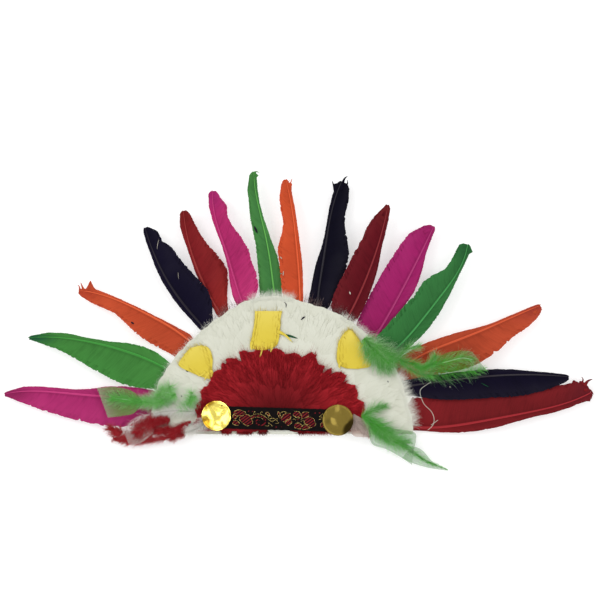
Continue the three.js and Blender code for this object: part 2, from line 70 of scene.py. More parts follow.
def topAt(tree, point):
    hit = tree.ray_cast(Vector((point[0] * mm, point[1] * mm, 0.2)), Vector((0, 0, -1)))
    return None if hit[0] is None else hit[0].z / mm


def polar(centre, degrees, distance):
    turn = np.radians(degrees)
    return np.stack([centre[0] + distance * np.cos(turn), centre[1] + distance * np.sin(turn)], -1)


def towards(radians):
    return np.stack([np.cos(radians), np.sin(radians)], -1)


def bentLines(root, heading, reach):
    # Lines that leave each root and follow a heading of their own from point to point
    move = towards(heading) * (reach / (heading.shape[1] - 1))[:, None, None]
    return root[:, None] + np.cumsum(move, axis=1) - move[:, :1]


def unit(vectors):
    return vectors / np.maximum(np.linalg.norm(vectors, axis=-1, keepdims=True), 1e-9)


def alongPath(points, shares):
    # Smooth positions at shares of the length of a given path
    points = np.asarray(points, float)
    steps = np.linalg.norm(np.diff(points, axis=0), axis=1)
    reach = np.concatenate([[0], np.cumsum(steps)]) / steps.sum()
    padded = np.vstack([2 * points[0] - points[1], points, 2 * points[-1] - points[-2]])
    index = np.clip(np.searchsorted(reach, shares, side="right") - 1, 0, len(points) - 2)
    t = ((shares - reach[index]) / (reach[index + 1] - reach[index]))[..., None]
    p0, p1, p2, p3 = padded[index], padded[index + 1], padded[index + 2], padded[index + 3]
    return 0.5 * (2 * p1 + (p2 - p0) * t + (2 * p0 - 5 * p1 + 4 * p2 - p3) * t ** 2
                  + (3 * p1 - p0 - 3 * p2 + p3) * t ** 3)


# Helpers for building meshes

creaseAngle = 0.7  # radians: sharper edges stay sharp in the shading


def deselect():
    bpy.ops.object.select_all(action="DESELECT")


def makeActive(piece):
    deselect()
    piece.select_set(True)
    bpy.context.view_layer.objects.active = piece


def paint(piece, material):
    piece.data.materials.clear()
    piece.data.materials.append(material)


def pointsOf(piece):
    flat = np.zeros(len(piece.data.vertices) * 3, np.float32)
    piece.data.vertices.foreach_get("co", flat)
    return flat.reshape(-1, 3).astype(float)


def meshFromArrays(name, points, faces, uv, tint):
    mesh = bpy.data.meshes.new(name)
    count = len(faces)
    mesh.vertices.add(len(points))
    mesh.vertices.foreach_set("co", (points * mm).astype(np.float32).ravel())
    mesh.loops.add(count * 3)
    mesh.loops.foreach_set("vertex_index", faces.astype(np.int32).ravel())
    mesh.polygons.add(count)
    mesh.polygons.foreach_set("loop_start", np.arange(count, dtype=np.int32) * 3)
    mesh.polygons.foreach_set("loop_total", np.full(count, 3, np.int32))
    layer = mesh.uv_layers.new(name="UVMap")
    layer.data.foreach_set("uv", uv[faces.ravel()].astype(np.float32).ravel())
    tones = mesh.attributes.new("tint", "FLOAT", "POINT")
    tones.data.foreach_set("value", tint.astype(np.float32))
    mesh.update(calc_edges=True)
    mesh.validate()
    piece = bpy.data.objects.new(name, mesh)
    bpy.context.scene.collection.objects.link(piece)
    mesh.polygons.foreach_set("use_smooth", np.ones(count, dtype=bool))
    return piece


def strands(name, paths, radii, tint, sides=3, flat=1.0):
    # Closed tapering hairs: paths is hairs by points by xyz, each hair ends in a point
    count, length, _ = paths.shape
    ahead = unit(np.gradient(paths, axis=1))
    side = unit(np.cross(ahead, np.array([0, 0, 1.0])))
    above = np.cross(side, ahead)
    rings = []
    for s in range(sides):
        turn = math.pi / 2 + 2 * math.pi * s / sides
        offset = math.cos(turn) * side + math.sin(turn) * flat * above
        rings.append((paths + radii[..., None] * offset)[:, :-1])
    body = np.stack(rings, axis=2).reshape(count, -1, 3)
    points = np.concatenate([body, paths[:, -1:]], axis=1)
    perHair = points.shape[1]
    faces = []
    for i in range(length - 2):
        for s in range(sides):
            a, b = i * sides + s, i * sides + (s + 1) % sides
            faces += [(a, b + sides, b), (a, a + sides, b + sides)]
    last = (length - 2) * sides
    for s in range(sides):
        faces.append((last + s, perHair - 1, last + (s + 1) % sides))
    for s in range(1, sides - 1):
        faces.append((0, s, s + 1))
    faces = (np.array(faces)[None] + np.arange(count)[:, None, None] * perHair).reshape(-1, 3)
    share = np.repeat(np.arange(length - 1) / (length - 1), sides)
    share = np.tile(np.concatenate([share, [1.0]]), count)
    tone = np.repeat(tint, perHair)
    uv = np.stack([tone, share], -1)
    return meshFromArrays(name, points.reshape(-1, 3), faces, uv, tone)


def placedStrand(name, line, level, radii, tone, sides, flat=1.0):
    # One strand at one height along a given line
    path = alongPath(fromPhoto(line), np.linspace(0, 1, len(radii)))
    path = np.column_stack([path, np.full(len(radii), level)])[None]
    return strands(name, path, radii[None], np.array([tone]), sides, flat)


def makeGrid(name, across, along):
    # A flat grid to shape: returns the object and its vertices' places from -1 to 1 and 0 to 1
    deselect()
    bpy.ops.mesh.primitive_grid_add(x_subdivisions=across, y_subdivisions=along, size=2)
    piece = bpy.context.object
    piece.name = name
    piece.data.name = name
    flat = pointsOf(piece)
    return piece, flat[:, 0], (flat[:, 1] + 1) / 2


def shapeGrid(piece, points, tint, thickness):
    # Puts the grid's vertices in place and gives the sheet its thickness downwards
    piece.data.vertices.foreach_set("co", (points * mm).astype(np.float32).ravel())
    tones = piece.data.attributes.new("tint", "FLOAT", "POINT")
    tones.data.foreach_set("value", np.asarray(tint).astype(np.float32))
    makeActive(piece)
    solid = piece.modifiers.new("thickness", "SOLIDIFY")
    solid.thickness = thickness * mm
    solid.offset = -1
    bpy.ops.object.modifier_apply(modifier=solid.name)
    bpy.ops.object.shade_smooth_by_angle(angle=creaseAngle)


def joined(name, parts):
    deselect()
    for part in parts:
        part.select_set(True)
    bpy.context.view_layer.objects.active = parts[0]
    if len(parts) > 1:
        bpy.ops.object.join()
    piece = bpy.context.object
    piece.name = name
    piece.data.name = name
    return piece


def copiesOf(template, name, places, tint):
    # One mesh from many copies of a template: places holds the points of each copy
    count, perCopy, _ = places.shape
    template.data.calc_loop_triangles()
    faces = np.array([t.vertices for t in template.data.loop_triangles])
    loops = np.array([t.loops for t in template.data.loop_triangles]).ravel()
    uvAll = np.zeros(len(template.data.loops) * 2, np.float32)
    template.data.uv_layers["UVMap"].data.foreach_get("uv", uvAll)
    uvPoint = np.zeros((perCopy, 2))
    uvPoint[faces.ravel()] = uvAll.reshape(-1, 2)[loops]
    allFaces = (faces[None] + np.arange(count)[:, None, None] * perCopy).reshape(-1, 3)
    uv = np.tile(uvPoint, (count, 1))
    piece = meshFromArrays(name, places.reshape(-1, 3), allFaces, uv, np.repeat(tint, perCopy))
    makeActive(piece)
    bpy.ops.object.shade_smooth_by_angle(angle=creaseAngle)
    return piece


# Shader helpers

def srgb(red, green, blue):
    def line(value):
        value = value / 255
        return value / 12.92 if value <= 0.04045 else ((value + 0.055) / 1.055) ** 2.4
    return (line(red), line(green), line(blue), 1)


def srgbs(colours):
    return [srgb(*colour) for colour in colours]


class Wire:
    # A shader socket that can be used in sums
    def __init__(self, tree, socket):
        self.tree = tree
        self.socket = socket

    def maths(self, operation, *values):
        return addNode(self.tree, "ShaderNodeMath", {"operation": operation}, dict(enumerate(values)))

    def __add__(self, other):
        return self.maths("ADD", self, other)

    def __radd__(self, other):
        return self.maths("ADD", other, self)

    def __sub__(self, other):
        return self.maths("SUBTRACT", self, other)

    def __rsub__(self, other):
        return self.maths("SUBTRACT", other, self)

    def __mul__(self, other):
        return self.maths("MULTIPLY", self, other)

    def size(self):
        return self.maths("ABSOLUTE", self)

    def sine(self):
        return self.maths("SINE", self)

    def held(self, low, high):
        return self.maths("MINIMUM", self.maths("MAXIMUM", self, low), high)

    def step(self, low, high):
        # Rises softly from 0 at low to 1 at high
        return addNode(self.tree, "ShaderNodeMapRange", {"interpolation_type": "SMOOTHSTEP"},
                       {"Value": self, "From Min": low, "From Max": high})


def addNode(tree, kind, settings=None, values=None, output=0):
    # Any node: its settings first, then a value or a link for each socket
    made = tree.nodes.new(kind)
    for key, value in (settings or {}).items():
        setattr(made, key, value)
    for key, value in (values or {}).items():
        if isinstance(value, Wire):
            tree.links.new(value.socket, made.inputs[key])
        else:
            made.inputs[key].default_value = value
    return Wire(tree, made.outputs[output])


class Finish:
    # A material under construction, with one Principled shader
    def __init__(self, name, roughness=0.6, metallic=0.0, **constants):
        self.material = bpy.data.materials.new(name)
        self.material.use_nodes = True
        self.tree = self.material.node_tree
        self.shader = self.tree.nodes["Principled BSDF"]
        self.shader.inputs["Roughness"].default_value = roughness
        self.shader.inputs["Metallic"].default_value = metallic
        for key, value in constants.items():
            self.shader.inputs[key.replace("_", " ")].default_value = value

    def node(self, kind, settings=None, values=None, output=0):
        return addNode(self.tree, kind, settings, values, output)

    def split(self, vector):
        # The first two parts of a vector
        first = self.node("ShaderNodeSeparateXYZ", values={0: vector})
        return first, Wire(self.tree, first.socket.node.outputs[1])

    def uv(self):
        return self.split(self.node("ShaderNodeUVMap", {"uv_map": "UVMap"}))

    def place(self):
        return self.node("ShaderNodeTexCoord", output="Object")

    def tint(self):
        return self.node("ShaderNodeAttribute", {"attribute_name": "tint"}, output="Fac")

    def vector(self, x, y, z=0.0):
        return self.node("ShaderNodeCombineXYZ", values={"X": x, "Y": y, "Z": z})

    def noise(self, vector, scale, detail=3.0, rough=0.55):
        values = {"Vector": vector, "Scale": scale, "Detail": detail, "Roughness": rough}
        return self.node("ShaderNodeTexNoise", values=values, output="Fac")

    def mix(self, amount, first, second):
        return self.node("ShaderNodeMix", {"data_type": "RGBA"}, {0: amount, 6: first, 7: second}, output=2)

    def give(self, key, wire):
        self.tree.links.new(wire.socket, self.shader.inputs[key])

    def bump(self, height, strength, distance):
        values = {"Height": height, "Strength": strength, "Distance": distance * mm}
        self.give("Normal", self.node("ShaderNodeBump", values=values, output="Normal"))


black = (0, 0, 0, 1)
thinMark = 2  # added to the tint of a hair or vane that lets what lies under it show


def featherFinish(name, colours, shaftWidth=0.03, tipFrom=0.75):
    # A dyed quill feather: stripes follow the barbs, the quill is lighter, the vane is paler towards its
    # edges and darker beside the quill
    low, middle, tip, shaft = srgbs(colours)
    made = Finish(name, roughness=0.75, Specular_IOR_Level=0.05)
    across, along = made.uv()
    off = (across - 0.5).size()
    fine = made.noise(made.vector(across * 3.0, along * 260.0), 1.0, 2.0, 0.6)
    coarse = made.noise(made.vector(across * 2.0, along * 34.0, made.tint()), 1.0, 3.0, 0.6)
    patchy = made.noise(made.place(), 26.0, 2.0, 0.5)
    colour = made.mix(along.step(0.02, 0.45), low, middle)
    colour = made.mix((along + (coarse - 0.5) * 0.12).step(tipFrom, 0.98), colour, tip)
    dark = made.mix(0.5, colour, black)
    pale = made.mix(0.35, colour, shaft)
    shade = fine.step(0.58, 0.3) * 0.42 + coarse.step(0.55, 0.3) * 0.3 + patchy.step(0.5, 0.3) * 0.16
    colour = made.mix(shade.held(0, 1), colour, dark)
    colour = made.mix(patchy.step(0.5, 0.72) * 0.4 + off.step(0.1, 0.5) * 0.35, colour, pale)
    beside = (1.0 - off.step(shaftWidth, shaftWidth * 3.2)) * 0.4
    colour = made.mix(beside, colour, dark)
    colour = made.mix(1.0 - off.step(shaftWidth * 0.55, shaftWidth), colour, shaft)
    made.give("Base Color", colour)
    made.give("Roughness", 0.65 + fine * 0.25)
    made.bump(fine * 0.7 + coarse, 0.6, 0.35)
    return made.material


def fluffFinish(name, colours, grooveShade=0.3, shadow=0.0, ends=0.75, thin=0.0, paintedGlow=0.0, veil=0.0):
    # Down and short feathers: each has its own tone, lighter towards its end, with slanted barbs whose
    # grooves carry painted shade.
    # shadow paints shade round the middle of the ribbon, the glow is painted light given off by thin hairs,
    # and thin and veil act on thin hairs and vanes
    deep, middle, light = srgbs(colours)
    made = Finish(name, roughness=0.85, Specular_IOR_Level=0.1)
    across, along = made.uv()
    mark = made.tint()
    isThin = mark.step(1.2, 1.6)
    tone = (mark - isThin * float(thinMark)).held(0, 1)
    place = made.place()
    drift = made.noise(place, 40.0, 3.0, 0.6)
    slant = along * 48.0 - (across - 0.5).size() * 60.0
    barbs = made.noise(made.vector(across * 5.0, slant, tone * 9.0), 1.0, 2.0, 0.6)
    streaks = made.noise(made.vector(across * 90.0, along * 4.0, tone * 5.0), 1.0, 2.0, 0.6)
    relief = (barbs + streaks) * 0.5
    colour = made.mix((tone * 0.6 + drift * 0.6 - 0.1).step(0.1, 0.9), deep, middle)
    colour = made.mix((along * 0.6 + tone * 0.4).step(0.35, 0.95) * ends, colour, light)
    # Darker where the relief is low: the barbs' pattern with painted shade in its grooves
    colour = made.mix(relief.step(0.52, 0.34) * grooveShade, colour, deep)
    if shadow:
        distance = made.node("ShaderNodeVectorMath", {"operation": "LENGTH"}, {"Vector": place}, "Value")
        dark = made.mix(0.74, colour, black)
        colour = made.mix(distance.step(0.08, 0.008) * shadow, colour, dark)
    if thin:
        colour = made.mix(isThin * veil, colour, black)
    made.give("Base Color", colour)
    if thin:
        made.give("Alpha", 1.0 - isThin * thin * (0.6 + streaks * 0.8).held(0, 1.2))
    # Emission on the thin hairs: painted light that brightens them
    if paintedGlow:
        made.give("Emission Color", made.mix(isThin, black, (paintedGlow, paintedGlow, paintedGlow, 1)))
        made.shader.inputs["Emission Strength"].default_value = 1
    made.bump(relief, 0.3, 0.3)
    return made.material


def dress(piece, material, slot, stands=None):
    # Gives a finished piece its material, hides the frame's piece that it stands for, and hangs it from the
    # root
    paint(piece, material)
    if stands:
        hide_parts(stands)
    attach(piece, "root")


print("helpers ready")


# Long quill feathers, placed as the frame has them: the angle of the root on the fan's rim, the aim, the
# length in millimetres and the sway to the left at the quarters of the length, as shares of it

longFeathers = [
    dict(node="quill_feather_01_magenta", at=165, aim=178.2, length=150, sway=(-0.008, -0.018, -0.03)),
    dict(node="quill_feather_02_green", at=151, aim=167.4, length=141, sway=(-0.055, -0.07, -0.055)),
    dict(node="quill_feather_03_orange", at=135.5, aim=156, length=120, sway=(-0.045, -0.06, -0.055)),
    dict(node="quill_feather_04_navy", at=127, aim=120.4, length=115, sway=(0.05, 0.068, 0.05)),
    dict(node="quill_feather_05_red", at=117.7, aim=110, length=111, sway=(0.05, 0.066, 0.05)),
    dict(node="quill_feather_06_magenta", at=107.4, aim=104.9, length=119, sway=(0.02, 0.03, 0.042)),
    dict(node="quill_feather_07_green", at=93.7, aim=99.4, length=130, sway=(-0.008, -0.005, 0.012)),
    dict(node="quill_feather_08_orange", at=83.2, aim=96.7, length=122, sway=(-0.018, -0.025, -0.022)),
    dict(node="quill_feather_09_navy", at=75.7, aim=78.6, length=125, sway=(0.018, 0.03, 0.034)),
    dict(node="quill_feather_10_red", at=61.3, aim=70.6, length=118, sway=(-0.03, -0.04, -0.032)),
    dict(node="quill_feather_11_magenta", at=46.8, aim=62.3, length=124, sway=(-0.012, -0.015, -0.012)),
    dict(node="quill_feather_12_green", at=37.3, aim=54.9, length=133, sway=(-0.045, -0.06, -0.064)),
    dict(node="quill_feather_13_orange", at=29.5, aim=24.1, length=153, sway=(0.022, 0.012, 0.006)),
    dict(node="quill_feather_14_navy", at=21, aim=3.1, length=160, sway=(0.02, 0.034, 0.03)),
    dict(node="quill_feather_15_red", at=2.7, aim=11.6, length=177, sway=(-0.035, -0.041, -0.04)),
]

# Colours of each long feather: at its base, its middle, its tip, and its quill
featherColours = {
    1: ((186, 56, 121), (166, 44, 103), (138, 36, 84), (196, 66, 126)),
    2: ((70, 132, 62), (63, 125, 57), (34, 85, 55), (70, 150, 66)),
    3: ((178, 70, 44), (181, 71, 43), (170, 62, 40), (222, 100, 62)),
    4: ((19, 15, 36), (17, 13, 34), (15, 12, 30), (46, 43, 50)),
    5: ((146, 38, 34), (122, 29, 33), (112, 26, 28), (150, 56, 54)),
    6: ((192, 56, 115), (172, 42, 101), (157, 38, 100), (190, 62, 120)),
    7: ((66, 122, 66), (64, 120, 63), (56, 108, 54), (100, 172, 84)),
    8: ((196, 76, 44), (194, 76, 43), (182, 70, 40), (224, 98, 60)),
    9: ((15, 11, 28), (12, 10, 25), (12, 10, 22), (50, 48, 54)),
    10: ((84, 14, 23), (92, 17, 27), (104, 30, 32), (136, 50, 54)),
    11: ((150, 32, 92), (154, 32, 97), (146, 30, 90), (170, 60, 115)),
    12: ((54, 114, 58), (50, 108, 56), (40, 92, 50), (72, 150, 82)),
    13: ((176, 70, 44), (172, 68, 43), (160, 60, 46), (212, 92, 60)),
    14: ((17, 12, 32), (15, 11, 31), (15, 12, 29), (58, 55, 60)),
    15: ((124, 30, 34), (110, 27, 31), (100, 27, 34), (160, 46, 52)),
}
quarters = np.array([0, 0.25, 0.5, 0.75, 1])

spineShares = np.linspace(0, 1, 61)

# What the long feathers have in common: lengths and heights in millimetres, start and quill as shares
vaneLook = {
    "rows": 130, "start": 0.13, "thickness": 0.5, "sweep": 15.0, "sweepPower": 1.25, "droop": 1.1,
    "ragged": 0.012, "splits": 5, "quill": (-0.06, 0.97), "quillRadii": (1.0, 0.75, 0.25),
    "hairs": 110, "hairRadius": 0.32, "least": 0.5,
}

# Twisted barbs at the tips: points in the photograph's frame, half width in millimetres
tipBarbs = {
    2: [([(34, 339), (30, 337.5), (27.5, 338)], 1.6)],
    3: [([(84, 291), (82, 286), (80.5, 282)], 1.8), ([(80, 290), (79, 286), (77, 285)], 1.2)],
    4: [([(148, 234), (145.5, 230), (143.5, 227)], 1.8)],
    7: [([(253, 178), (253.5, 173), (256, 171.7), (260, 172.6)], 1.7)],
    8: [([(286, 186), (286.5, 182), (283.5, 180)], 1.4), ([(288, 188), (290.5, 183), (292.5, 177.5)], 1.3),
        ([(286, 185), (289, 181), (290.5, 180)], 0.8)],
    9: [([(340, 190), (343, 182), (345, 178), (348, 176)], 3.0),
        ([(335, 190), (333.5, 185), (332, 180.5)], 1.8), ([(346, 186), (347.5, 183), (347, 179)], 1.2)],
    10: [([(383, 216), (386, 210), (389.5, 204)], 2.2)],
    11: [([(424, 233), (430, 229), (434, 226)], 2.2)],
    13: [([(534, 314), (538, 308), (541, 303.5)], 2.0), ([(537, 313), (540, 311), (542.5, 309)], 1.4)],
    15: [([(584, 386), (588, 381), (593, 379)], 2.6), ([(584, 390), (590, 390), (594, 395)], 2.0),
         ([(582, 384), (583, 379), (581, 376.5)], 1.4), ([(588, 392), (592, 394), (591, 400)], 1.4)],
}

# Lobes and notches of the outlines: side (1 left, -1 right), share, spread, depth in millimetres
edgeMarks = {
    2: [(-1, 0.62, 0.05, -0.8), (1, 0.86, 0.03, 0.8)],
    4: [(-1, 0.835, 0.018, -2.2), (-1, 0.93, 0.03, 2.4), (-1, 0.74, 0.03, 1.0)],
    6: [(-1, 0.86, 0.06, 2.2), (-1, 0.755, 0.02, -0.4), (-1, 0.6, 0.04, 0.8)],
    8: [(1, 0.55, 0.03, -0.8)],
    10: [(1, 0.62, 0.02, 1.4), (1, 0.52, 0.03, 1.2)],
    12: [(1, 0.56, 0.03, 1.2), (1, 0.44, 0.02, -0.8)],
    13: [(-1, 0.93, 0.015, 0.8), (-1, 0.85, 0.02, -0.6)],
    14: [(-1, 0.35, 0.02, -0.8), (-1, 0.5, 0.02, -0.8), (-1, 0.78, 0.02, -0.7)],
}


def spineAt(row, shares):
    ahead = polar((0, 0), row["aim"], 1)
    leftward = np.array([-ahead[1], ahead[0]])
    curve = np.polyfit(quarters, [0, *row["sway"], 0], 4)
    held = np.clip(shares, 0, 1)
    root = polar(fanCentre, row["at"], fanRadius)
    sway = np.polyval(curve, held) * row["length"]
    return root + shares[..., None] * row["length"] * ahead + sway[..., None] * leftward


def sampled(held, columns):
    # A two-column list with a row for each of the spine's shares, read between them
    return np.stack([np.interp(held, spineShares, columns[:, k]) for k in (0, 1)], -1)


def reachOf(tree, line, direction):
    # How far the solid reaches sideways from each point of a line
    found = []
    for point, way in zip(line, direction):
        out = 0.0
        while out < 60 and topAt(tree, point + way * (out + 0.3)) is not None:
            out += 0.3
        found.append(out + 0.35)
    return np.array(found)


def measured(number, row):
    # The spine of one of the frame's feathers, with its width to both sides and its height
    tree = treeOf(row["node"])
    line = spineAt(row, spineShares)
    ahead = unit(np.gradient(line, axis=0))
    leftward = np.stack([-ahead[:, 1], ahead[:, 0]], -1)
    least = vaneLook["least"]
    left = np.maximum(reachOf(tree, line, leftward), least)
    right = np.maximum(reachOf(tree, line, -leftward), least)
    for side, share, spread, depth in edgeMarks.get(number, []):
        change = depth * np.exp(-((spineShares - share) / spread) ** 2)
        if side > 0:
            left = np.maximum(left + change, least)
        else:
            right = np.maximum(right + change, least)
    heights = []
    for point, way in zip(line, leftward):
        tops = [topAt(tree, point + way * side) for side in (2.4, -2.4, 0)]
        known = [top for top in tops if top is not None]
        heights.append(min(known) if known else (heights[-1] if heights else 6.0))
    return {"line": line, "start": ahead[0], "leftward": leftward, "left": left, "right": right,
            "heights": np.array(heights)}


def placeOn(row, form, share):
    # Points on the spine, which runs on straight behind its root
    held = np.clip(share, 0, 1)
    return sampled(held, form["line"]) + (np.minimum(share, 0) * row["length"])[..., None] * form["start"]


def sweepOf(row, root):
    # How far forward a barb ends, as a share of the length: less towards the tip
    return np.minimum(vaneLook["sweep"] / row["length"], (1 - root) * 0.5)


def featherVane(rng, row, form):
    # Returns the vane and its greatest half width
    rows, start = vaneLook["rows"], vaneLook["start"]
    blade, across, root = makeGrid(row["node"] + "_vane", 14, rows)
    root = -start + (0.993 + start) * root
    share = root + sweepOf(row, root) * np.abs(across) ** vaneLook["sweepPower"]
    held = np.clip(share, 0, 1)
    left = np.interp(held, spineShares, form["left"])
    right = np.interp(held, spineShares, form["right"])
    widest = max(left.max(), right.max())
    barb = np.clip(((root + start) * rows / (1 + start)).round().astype(int), 0, rows)
    ragged = 1 + vaneLook["ragged"] * rng.standard_normal((2, rows + 2))
    for side in (0, 1):
        for _ in range(vaneLook["splits"]):
            split = rng.integers(20, rows - 4)
            ragged[side, split] -= rng.uniform(0.03, 0.12)
    edge = np.where(across < 0, ragged[0, barb], ragged[1, barb])
    worn = 1 + (edge - 1) * np.abs(across) ** 3
    offset = np.where(across < 0, -across * left, -across * right) * worn
    xy = placeOn(row, form, share) + unit(sampled(held, form["leftward"])) * offset[:, None]
    ripple = rng.standard_normal(rows + 2)[barb] * 0.05 * np.abs(across)
    droop = vaneLook["droop"] * (offset / widest) ** 2
    lift = 0.4 * np.exp(-(offset / 2.2) ** 2)
    z = np.interp(held, spineShares, form["heights"]) + lift - droop + ripple
    shapeGrid(blade, np.column_stack([xy, z]), np.full(len(z), rng.uniform(0, 1)), vaneLook["thickness"])
    return blade, widest


def featherQuill(row, form):
    # Thick at the root, fading before the tip
    low, high = vaneLook["quill"]
    share = np.linspace(low, high, 28)
    top = np.interp(np.clip(share, 0, 1), spineShares, form["heights"]) + 0.35
    path = np.column_stack([placeOn(row, form, share), top])[None]
    radii = np.interp(share, [low, 0.3, high], vaneLook["quillRadii"])[None]
    return strands(row["node"] + "_quill", path, radii, np.array([0.5]), 8)


def featherHairs(rng, row, form, widest):
    # Loose barb ends along both edges
    count = vaneLook["hairs"]
    side = rng.choice([-1.0, 1.0], count)[:, None]
    root = rng.uniform(-0.08, 0.985, count)
    steps = np.linspace(0, 1, 4)
    fromEdge = 0.8 + steps[None] * rng.uniform(0.18, 0.22, count)[:, None]
    share = root[:, None] + sweepOf(row, root)[:, None] * fromEdge ** vaneLook["sweepPower"]
    held = np.clip(share, 0, 1)
    left, right = [np.interp(held, spineShares, form[edge]) for edge in ("left", "right")]
    reach = np.where(side > 0, left, right) * fromEdge
    xy = placeOn(row, form, share) + sampled(held, form["leftward"]) * (side * reach)[..., None]
    z = np.interp(held, spineShares, form["heights"]) - vaneLook["droop"] * (reach / widest) ** 2
    paths = np.concatenate([xy, z[..., None]], -1)
    radii = vaneLook["hairRadius"] * (1 - 0.6 * steps)[None] * np.ones((count, 1))
    return strands(row["node"] + "_barbs", paths, radii, rng.uniform(0.06, 0.3, count))


def addLongFeather(number, row):
    rng = np.random.default_rng(100 + number)
    form = measured(number, row)
    blade, widest = featherVane(rng, row, form)
    parts = [blade, featherQuill(row, form), featherHairs(rng, row, form, widest)]
    for line, width in tipBarbs.get(number, []):
        taper = width * np.linspace(1, 0.12, 8)
        parts.append(placedStrand(row["node"] + "_tip", line, form["heights"][-4] - 0.1, taper, 0.3, 6, 0.2))
    piece = joined(row["node"] + "_feather", parts)
    finish = featherFinish(row["node"] + "_dye", featherColours[number])
    dress(piece, finish, row["node"].split("_")[-1] + "_feather", row["node"])


for number, row in enumerate(longFeathers, 1):
    addLongFeather(number, row)
print("long feathers done")


# A short feather modelled once: a rounded vane with a ragged end, one unit long and wide

def shortFeatherTemplate(name, across, along, ragged, dome, seed):
    rng = np.random.default_rng(seed)
    piece, u, v = makeGrid(name, across, along)
    row = (v * along).round().astype(int)
    width = np.sin(np.pi * np.clip(v * 0.86 + 0.1, 0, 1)) ** 0.55
    edge = 1 + ragged * rng.standard_normal((2, along + 1))
    worn = np.where(u < 0, edge[0, row], edge[1, row])
    x = u * 0.5 * width * (1 + (worn - 1) * np.abs(u) ** 2)
    column = ((u + 1) / 2 * across).round().astype(int)
    tips = 1 - ragged * 2.2 * rng.uniform(0, 1, across + 1)
    y = v * (1 - (1 - tips[column]) * v ** 3) - 0.1 * np.abs(u) ** 2 * v
    z = dome * (1 - u ** 2)
    shapeGrid(piece, np.column_stack([x, y, z]), np.zeros(len(x)), 0.006)
    return piece


def keptAbove(xy, lowest):
    # Gathers what hangs below the ribbon into a short, uneven lower edge
    edge = lowest + 0.9 * np.sin(xy[..., 0] * 0.55) + 0.6 * np.sin(xy[..., 0] * 1.3 + 1)
    y = np.where(xy[..., 1] < edge, edge + (xy[..., 1] - edge) * 0.12, xy[..., 1])
    return np.stack([xy[..., 0], y], -1)


def layShortFeathers(name, template, roots, aims, lengths, widths, level, rolls, tint, lowest):
    base = pointsOf(template) / mm
    count = len(roots)
    local = np.broadcast_to(base[None], (count, *base.shape)).copy()
    turn = np.radians(aims)
    ahead = towards(turn)[:, None]
    right = np.stack([np.sin(turn), -np.cos(turn)], -1)[:, None]
    x = local[..., 0] * widths[:, None]
    y = local[..., 1] * lengths[:, None]
    xy = roots[:, None] + x[..., None] * right + y[..., None] * ahead
    z = level + 0.05 * local[..., 1] + local[..., 2] * widths[:, None]
    z += np.sin(np.radians(rolls))[:, None] * x
    xy = keptAbove(xy, lowest)
    return copiesOf(template, name, np.concatenate([xy, z[..., None]], -1), tint)


def fanLayers(rng, name, template, centre, rimAngles, rim, top, look):
    # Overlapping layers of short feathers, the lowest one first
    made = []
    for start, end, count, lift in look["layers"]:
        aims = np.linspace(*look["aims"], count) + rng.normal(0, look["uneven"], count)
        reach = np.interp(aims, rimAngles, rim)
        roots = polar(centre, aims, reach * start)
        lengths = reach * (end - start) * rng.uniform(*look["lengths"], count)
        for at in look["shortAt"]:
            lengths = np.where(np.abs(aims - at) < 9, lengths * 0.72, lengths)
        widths = np.radians(look["sector"] / count) * reach * end * rng.uniform(*look["widths"], count)
        turned = aims + rng.normal(0, look["turn"], count)
        rolls = rng.normal(0, look["roll"], count)
        tint = rng.uniform(*look["tint"], count)
        made.append(layShortFeathers(name, template, roots, turned, lengths, widths, top + lift, rolls, tint,
                                     look["lowest"]))
    return made


def rimOf(node, centre, angles):
    tree = treeOf(node)
    found = []
    for angle in angles:
        out = 150.0
        while out > 20 and topAt(tree, polar(centre, angle, out)) is None:
            out -= 0.5
        found.append(out)
    return np.array(found)


def thinTint(rng, low, high, paths):
    # Tones for hairs that let what lies under them show
    return rng.uniform(thinMark + low, thinMark + high, len(paths))


def fanHairs(rng, count, centre, rimAngles, rim, fromShare, toShare, length, level, spread, radius, over):
    # Fine hairs that radiate over a fan, some of them past its rim
    angle = rng.uniform(rimAngles[0], rimAngles[-1], count)
    share = np.sqrt(rng.uniform(fromShare ** 2, toShare ** 2, count))
    distance = np.interp(angle, rimAngles, rim) * share
    root = polar(centre, angle, distance)
    aim = angle + rng.normal(0, spread, count)
    bend = rng.normal(0, spread * 0.8, count)
    reach = rng.uniform(*length, count)
    steps = np.linspace(0, 1, 4)
    xy = bentLines(root, np.radians(aim[:, None] + bend[:, None] * steps), reach)
    z = level + rng.uniform(0.1, over, count)[:, None] * (0.4 + 0.6 * np.sin(np.pi * steps * 0.8))
    radii = radius * rng.uniform(0.7, 1.3, count)[:, None] * (1 - 0.75 * steps)
    return np.concatenate([xy, z[..., None]], -1), radii


def lowerFluff(rng, spans, counts, level):
    # Short hairs that hang over the lower edge, in clumps: each span runs between two places along it
    starts, ends = np.array(spans).T
    at = np.repeat(np.arange(len(spans)), counts)
    count = len(at)
    x = rng.uniform(starts[at], ends[at])
    root = fromPhoto(np.stack([x, 431.5 + rng.uniform(-1.5, 1.0, count)], -1))
    heading = np.radians(rng.normal(-90, 38, count))
    steps = np.linspace(0, 1, 4)
    reach = rng.uniform(1.5, 5.2, count)[:, None, None] * steps[None, :, None]
    xy = root[:, None] + towards(heading)[:, None] * reach
    z = level + rng.uniform(0, 0.8, count)[:, None] * (1 - steps)
    return np.concatenate([xy, z[..., None]], -1), 0.2 * (1 - 0.7 * steps)[None] * np.ones((count, 1))


